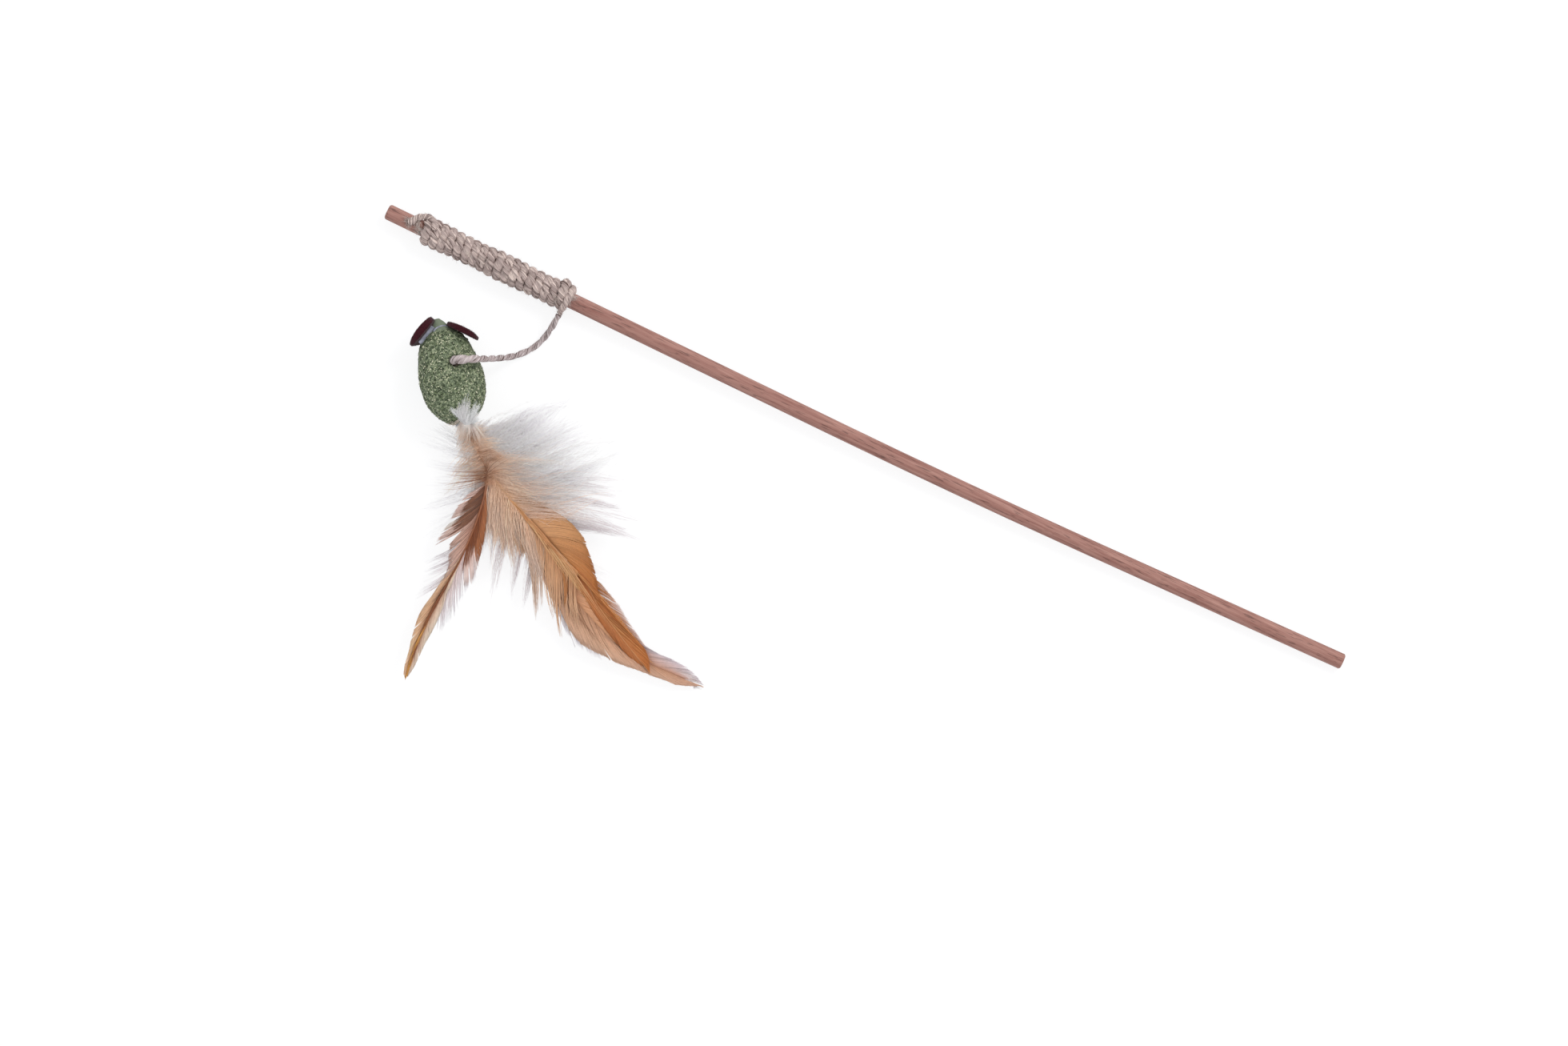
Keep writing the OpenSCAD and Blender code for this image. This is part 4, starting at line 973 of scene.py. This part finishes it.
tan_down = dyed_finish("tan_down", rough=0.9, gloss=0.1, sheen=0.3)
gold_down = plumage("gold_feather_down", down_barb, tan_down, rng, gold_at, [
    # Tan down, upper side
    dict(along=(0.01, 0.24), count=340, root=TAN, tip=BUFF, rise=(0, 3), dome=0.8, wide=0.15, locks=14,
         pull=0.4, rag=0.16, blur=0.8, wave=0.12, lift=0.6,
         ends=[(64, -56.5), (67, -57.5), (71, -58.3), (75, -59.8), (78, -62.8), (82, -66), (86, -69.8),
               (92, -72), (99, -73)]),
    # Tan down, lower side
    dict(along=(0.01, 0.3), count=380, root=(250, 214, 188, 1), tip=BUFF, bow=-0.1, rise=(-3, -0.5),
         dome=0.4, wide=0.15, locks=14, pull=0.4, rag=0.16, blur=0.8, wave=0.1, lift=0.6,
         ends=[(62, -68), (65, -75), (70, -82), (76, -88), (82, -91), (88, -94)]),
    # Umber strands at the root
    dict(along=(0.06, 0.17), count=170, root=UMBER, tip=TAN, bow=0.2, rise=(1, 3), dome=0.6, wide=0.12,
         thick=0.12, locks=7, rag=0.25, blur=0.7, tilt=0.06, wave=0.15, lift=0.6,
         ends=[(73, -64.5), (77, -65), (80, -67.5), (82, -70), (80, -73.5), (76, -74)]),
    # Thin veil over the white plume
    dict(along=(0.1, 0.36), count=300, root=TAN, tip=(252, 236, 228, 1), bow=0.12, rise=(0.6, 2),
         dome=0.6, wide=0.1, thick=0.1, locks=10, pull=0.3, rag=0.3, blur=0.9, wave=0.1, lift=0.7,
         ends=[(84, -63), (90, -63.5), (97, -66), (104, -69.5), (110, -73.5), (114, -77)]),
    # Long pale ends that hang below
    dict(along=(0.2, 0.46), count=320, root=PINK, tip=(214, 200, 204, 1), bow=-0.06, rise=(-2.5, -0.5),
         wide=0.13, thick=0.12, locks=18, pull=0.8, rag=0.14, blur=0.4, wave=0.04,
         ends=[(86, -97), (88, -99), (90, -101), (92.5, -100), (94, -103.3), (96.3, -105.7),
               (98.3, -100.7), (101, -102), (104, -99), (107, -102.7), (110.7, -105.3), (113, -102)]),
], tilt=0.2)
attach(gold_down, "gold_feather")
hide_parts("gold_down")

# Rose feather, lowest and longest: rosy brown barbs under the gold blade, lavender at the free edge,
# and at its base the big white plume of down, which took no dye.
rng = np.random.default_rng(47)
rose_barbs = dyed_finish("rose_barbs", rough=0.6, gloss=0.3, sheen=0.1)
rose_vane = plumage("rose_barb_vane", vane_barb, rose_barbs, rng, rose_at, [
    # Lower side of the blade
    dict(along=(0.4, 0.92), count=780, root=[(236, 178, 134), (232, 172, 132), (226, 164, 126)],
         tip=[(244, 198, 168), (240, 194, 164), (232, 184, 158)], wide=0.6, locks=6, pull=0.05, rag=0.015,
         shade=0.035, tilt=0.04, lift=0.4, past=0.5,
         ends=[(125.7, -104.7), (128.3, -108.7), (131.7, -112.7), (135, -114.7), (139, -115.5),
               (143.7, -115.6), (148.3, -115.6), (152.3, -116), (156.3, -115.6), (161.7, -114.9),
               (168.3, -114.3), (172.3, -113.8), (176.3, -113.7), (180.3, -112.3), (183.7, -110.7),
               (186.1, -109.4)]),
    # Lavender free edge
    dict(along=(0.36, 0.62), count=170, root=(232, 190, 166), tip=(255, 246, 252, 1), rise=(-0.9, -0.6),
         wide=0.3, locks=10, pull=0.4, rag=0.03, shade=0.04, tilt=0.05,
         ends=[(124.5, -106), (127.4, -110.5), (131, -114.2), (135.5, -116.4), (141, -117), (148, -117)]),
    # A few dark barbs
    dict(along=(0.44, 0.74), count=8, root=(186, 130, 94), tip=(190, 132, 98), rise=(-0.3, 0), wide=0.16,
         rag=0.1, shade=0.08, lift=0.55,
         ends=[(128, -103), (134, -109), (142, -112), (150, -113.5), (158, -114)]),
    # Upper side of the blade
    dict(along=(0.42, 0.8), count=380, root=(236, 172, 128), tip=(240, 182, 142), bow=0.05, wide=0.6,
         locks=4, pull=0.1, shade=0.04, tilt=0.04, lift=0.4, past=0.5,
         ends=[(128, -94), (136, -98), (142, -101), (148, -104), (155, -107), (162, -109.4), (166, -110)]),
    # Pale edge beside the gold blade
    dict(along=(0.38, 0.66), count=300, root=(236, 200, 182), tip=(250, 224, 218, 1), bow=0.08,
         rise=(-0.3, 0.1), wide=0.36, locks=3, pull=0.1, rag=0.01, shade=0.05, lift=0.2,
         ends=[(134, -91.2), (138, -93), (141, -94.3), (145, -96.7), (149.7, -100), (155, -103),
               (159.6, -105.6)]),
    # Orange strands along that edge
    dict(along=(0.38, 0.66), count=64, root=(214, 140, 84), tip=(220, 146, 80), bow=0.08, rise=(0.1, 0.4),
         wide=0.28, rag=0.03, shade=0.1, wave=0.03, lift=0.3,
         ends=[(134, -91.4), (138, -93.2), (141, -94.5), (145, -96.9), (149.7, -100.2), (155, -103.2),
               (159.6, -105.8)]),
    # Three dark splits
    dict(along=(0.52, 0.6), count=3, root=(132, 84, 56), tip=(150, 96, 66), bow=-0.14, rise=(-0.2, 0),
         wide=0.16, lift=0.6,
         ends=[(143, -111), (146, -112.5), (149, -113.7)]),
    # White tip
    dict(along=(0.86, 0.975), count=70, root=(236, 206, 196), tip=SNOW, bow=0.02, rise=(-0.2, 0.2),
         wide=0.2, locks=7, pull=0.4, rag=0.06,
         ends=[(179, -106.9), (184, -107.6), (187.2, -109.2), (186.6, -110.8), (182, -112.8)]),
    # Upper side near the tip
    dict(along=(0.66, 0.95), count=300, root=(224, 162, 126), tip=(252, 236, 242), bow=0.06,
         rise=(-0.4, 0), wide=0.36, locks=8, pull=0.25, rag=0.025, shade=0.05, lift=0.3,
         ends=[(160, -105.7), (165, -105.9), (169.7, -105.7), (174.3, -105.9), (179.7, -106.5),
               (183, -107.7), (186.2, -109.5)]),
], bow=-0.08, rise=(-0.5, -0.2))
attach(rose_vane, "rose_feather")
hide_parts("rose_vane")

rose_down = plumage("rose_feather_down", down_barb, white_down, rng, rose_at, [
    # Left edge of the plume
    dict(along=(0.02, 0.14), count=330, root=SNOW, tip=LAVENDER, bow=-0.1, rise=(-3, 3), dome=1.6,
         locks=26, rag=0.08, wave=0.12,
         ends=[(66, -56), (70, -54.5), (75, -53), (79.4, -47.3), (80.6, -44), (83, -41.3), (85.6, -40.7),
               (88, -38.8), (91.3, -41.6)]),
    # Body of the plume
    dict(along=(0.03, 0.28), count=420, root=(255, 240, 234, 1), tip=SNOW, bow=-0.04, rise=(-2, 2.5),
         dome=1.4, wide=0.17, locks=30, pull=0.45, rag=0.16, blur=0.9, wave=0.16,
         ends=[(77, -50), (82, -45), (89, -44), (96, -48), (102, -49.5), (107, -53), (111, -59),
               (115, -64)]),
    # Upper edge
    dict(along=(0.08, 0.26), count=380, root=SNOW, tip=LAVENDER, bow=0.04, rise=(-3, 2.5), dome=1.6,
         locks=34, rag=0.08, wave=0.12,
         ends=[(88, -39.5), (91.3, -41.6), (95.6, -44.8), (100, -44), (102.8, -46), (106.3, -45.7),
               (108, -52.3), (113, -52.3), (110, -56), (115.6, -56.3)]),
    # Long points on the right
    dict(along=(0.18, 0.36), count=280, root=CREAM, tip=(226, 214, 218, 1), bow=0.12, rise=(-5, 1),
         dome=1, wide=0.15, thick=0.13, locks=44, pull=0.8, rag=0.045, blur=0.3, tilt=0.2, wave=0.06,
         ends=[(115.6, -56.3), (122.5, -57.3), (124.4, -60), (126.3, -62.6), (128, -65), (131, -68.7),
               (136, -71.5), (126, -73), (121, -74.5)]),
    # Cream middle
    dict(along=(0.04, 0.3), count=300, root=CREAM, tip=SNOW, bow=0.08, rise=(0, 3), dome=1.6, locks=20,
         rag=0.3, blur=0.6, wave=0.16,
         ends=[(76, -54), (84, -52), (92, -54), (100, -58), (106, -63), (110, -68)]),
    # Warm base beside the gold veil
    dict(along=(0.1, 0.34), count=240, root=(255, 212, 184, 1), tip=(254, 222, 206, 1), bow=0.12,
         rise=(0.5, 3), dome=1.2, locks=14, rag=0.3, blur=0.6, wave=0.16,
         ends=[(84, -62), (92, -64), (100, -68), (106, -72), (110, -76)]),
    # Wisps beside the gold blade
    dict(along=(0.38, 0.46), count=24, root=PINK, tip=LAVENDER, rise=(-3, -1), wide=0.1, thick=0.1,
         locks=3, rag=0.1, tilt=0.06,
         ends=[(132, -87), (135, -89), (137, -90.5)]),
], wide=0.16, pull=0.6, blur=0.4, tilt=0.12)
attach(rose_down, "rose_feather")
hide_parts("rose_down")

# Twine's end in the mouse. The knotless end is pushed down into the hole in the back, where hot glue
# grips it. The same two-ply jute as the free twine.
bm = bmesh.new()
end_line = smooth_run([spot(48.1, -39.8, z) for z in (20.1, 17, 14, 11.7)], 0.0004)
plied(bm, end_line, np.array([0, 1.0, 0]), wide=2.2, high=2.2, lay=LAY)
glued_end = strand("glued_end", bm, lead_twine)
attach(glued_end, "mouse")
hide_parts("twine_anchor")

# Hot glue. A slug of it grips the twine's end in the back hole, a plug holds the quills in the rear
# hole, and a bead stands under each ear. It is cloudy, and amber or dusty with leaf where it shows. The
# bead under the right ear is also darkened as painted shade under the ear.


def glue_finish(name, dull, milky, clear):
    """Hot glue that has set: cloudy, smooth and lumpy."""
    m, t, shader = new_finish(name, rough=0.3)
    cloud = speckle(t, place_on(t), 500.0)
    coat(t, shader, tint_row(t, cloud, (0.3, dull), (0.7, milky)), cloud, strength=0.3, depth=0.0004)
    shader.inputs["Transmission Weight"].default_value = clear
    shader.inputs["IOR"].default_value = 1.48
    return m


milky_glue = glue_finish("clear_glue", (150, 154, 170), (214, 216, 236), clear=0.35)
# Glue dusted with leaf, darker than the leaf as painted shade under the right ear
crumbed_painted_shade_glue = glue_finish("crumbed_painted_shade_glue", (58, 62, 46), (96, 104, 78), clear=0.0)
give("anchor_glue", glue_finish("amber_glue", (92, 62, 44), (150, 112, 82), clear=0.3))
give("feather_glue_plug", milky_glue)

# Ears. Two ovals of thick maroon felt, cut with scissors and stuck on edge beside the nose. The cut
# edge is furry, and each stands on a run of clear hot glue.
FELT_TINTS = dyes((68, 22, 32), (46, 14, 22), (86, 32, 44))
felt, t, shader = new_finish("ear_felt", rough=0.95, gloss=0.1)
fluff = speckle(t, place_on(t), 2600.0, detail=4.0, rough=0.7)
felt_tint = tint_row(t, fluff, (0.3, (32, 10, 16)), (0.75, (86, 28, 40)))
coat(t, shader, felt_tint, fluff, strength=0.8, depth=0.0003)
shader.inputs["Sheen Weight"].default_value = 0.15
felt_fibre = dyed_finish("felt_fibre", rough=0.9, gloss=0.1)


def softened(name, source, voxel, passes, lumps, material):
    """An even, rounded and slightly lumpy mesh in the place of a CAD node."""
    bm = evened(source, voxel, passes)
    for v in bm.verts:
        v.co += v.normal * (noise.noise(v.co * 900) * lumps / 1000)
    made = piece(name, bm, material)
    smooth_faces(made)
    return made


def cut_ear(ear, long_way, swell, bulge, point):
    """Gives the felt its hand-cut outline: rounded ends, a fuller side toward the nose and a bow."""
    points = np.zeros(len(ear.data.vertices) * 3)
    ear.data.vertices.foreach_get("co", points)
    points = points.reshape(-1, 3) * 1000
    middle = (points.min(axis=0) + points.max(axis=0)) / 2
    thin_way = np.array([-long_way[1], long_way[0], 0])
    along, across = (points - middle) @ long_way, (points - middle) @ thin_way
    share = along / np.abs(along).max()
    half = np.abs(across).max()
    taper = 1 - 0.35 * np.abs(share) ** 3 - point * np.clip(share, 0, 1) ** 2
    inward = np.clip(0.5 + across / (2 * half), 0, 1)
    moved = across * taper + swell * inward * taper + bulge * (0.5 - share**2)
    points = points + thin_way * (moved - across)[:, None]
    ear.data.vertices.foreach_set("co", (points / 1000).ravel())
    ear.data.update()


# For each ear: its long way, swell, bulge, point and seed, then its bead's smoothing, finish and shift
EARS = {
    "left": ((-0.18, -0.98, 0), 1.5, 0.5, 0.3, 61, 5, milky_glue, (0.0009, 0, 0.0003)),
    "right": ((1, -0.06, 0), 0.1, 0.5, 0.15, 62, 14, crumbed_painted_shade_glue, (-0.0006, -0.0007, 0)),
}
for side, (long_way, swell, bulge, point, seed, passes, glue, nudge) in EARS.items():
    ear = softened(side + "_felt_ear", side + "_ear", voxel=0.3, passes=4, lumps=0.12, material=felt)
    cut_ear(ear, unit(np.array(long_way)), swell, bulge, point)
    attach(ear, "mouse")
    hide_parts(side + "_ear")
    nap = fur(side + "_felt_nap", ear, hair, count=1500, reach=0.6, stand=0.35, wide=0.05, thick=0.05,
              seed=seed, tints=FELT_TINTS, material=felt_fibre)
    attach(nap, "mouse")
    bead = softened(side + "_glue_bead", side + "_ear_glue", voxel=0.2, passes=passes, lumps=0.15,
                    material=glue)
    for v in bead.data.vertices:
        v.co += Vector(nudge)
    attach(bead, "mouse")
    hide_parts(side + "_ear_glue")

# A string of glue that was drawn out over the nose, between the ears
bm = bmesh.new()
skin_tree = BVHTree.FromObject(mouse, bpy.context.evaluated_depsgraph_get())
string = []
for x, y in ((36.2, -33.4), (36.3, -32.4), (36.8, -31.3), (37.7, -30.3), (38.8, -29.5), (40.2, -29.2)):
    top = skin_tree.ray_cast(Vector(spot(x, y, 60)), Vector((0, 0, -1)))[0]
    string.append(np.array(top) + (0, 0, 0.00012))
string = smooth_run(string, 0.0003)
tube(bm, string, *sides_of(string, np.array([0, 0, 1.0]))[1:], wide=0.00062, high=0.0004, sides=8)
glue_string = strand("glue_string", bm, milky_glue)
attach(glue_string, "mouse")

# Tuft on the rump. Short white down from the feathers' roots stands up over the mouse's tail end and
# is pressed back against it.
rng = np.random.default_rng(71)


def rump_at(f):
    """The line over the rump that the tuft stands on."""
    arch = np.sin(np.pi * f)
    return np.stack([59.5 + 5.5 * f, -57.5 - 2.2 * arch, 17.8 + 1.2 * arch], axis=1)


rump_tuft = plumage("rump_tuft", down_barb, white_down, rng, rump_at, [
    # Tuft pressed back on the rump
    dict(along=(0, 1), count=380, root=SNOW, tip=SNOW, bow=0.08, rise=(1.2, 3.6), dome=1.8, wide=0.17,
         thick=0.05, locks=13, pull=0.7, rag=0.15, blur=0.3, tilt=0.2, wave=0.1,
         ends=[(52.6, -57), (52.6, -55), (53.8, -53.3), (56, -52), (58.5, -51.4), (61, -51.6),
               (63.6, -51.6), (65.5, -53), (67.5, -55.5)]),
    # Its lower half, over the quills' roots
    dict(along=(0, 1), count=260, root=CREAM, tip=BUFF, bow=0.08, rise=(-6.5, -2), dome=1.2, wide=0.12,
         thick=0.12, locks=8, rag=0.2, blur=0.9, tilt=0.2, wave=0.1,
         ends=[(57, -61), (60, -64), (64, -66), (68, -64), (70, -60)]),
])
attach(rump_tuft, "mouse")
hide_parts("rear_down")

# Quills. Hollow horny shafts, pale in the rose feather, dark in the brown one and yellow in the gold
# one. Each fades near its root, tapers to a hair at its tip and is stuck in the glue plug.
HORNS = {
    "brown_quill": ((118, 66, 42), (176, 110, 72)),
    "gold_quill": ((200, 124, 70), (224, 160, 104)),
    "rose_quill": ((214, 160, 126), (240, 196, 166)),
    "quill_roots": ((206, 190, 172), (236, 224, 210)),
}
for name, (dull, fresh) in HORNS.items():
    horn, t, shader = new_finish(name, rough=0.4)
    place = place_on(t)
    tint = tint_row(t, speckle(t, place, 420.0, detail=3.0), (0, dull), (1, fresh))
    far = node(t, "ShaderNodeVectorMath", [(0, place)], operation="DISTANCE")
    far.inputs[1].default_value = spot(*FEATHER_ROOT, MIDDLE)
    bare = spread(t, far.outputs["Value"], 0.02, 0.026, smooth=True)
    coat(t, shader, mixed(t, bare, (226, 186, 158), tint))
    give(name, horn)
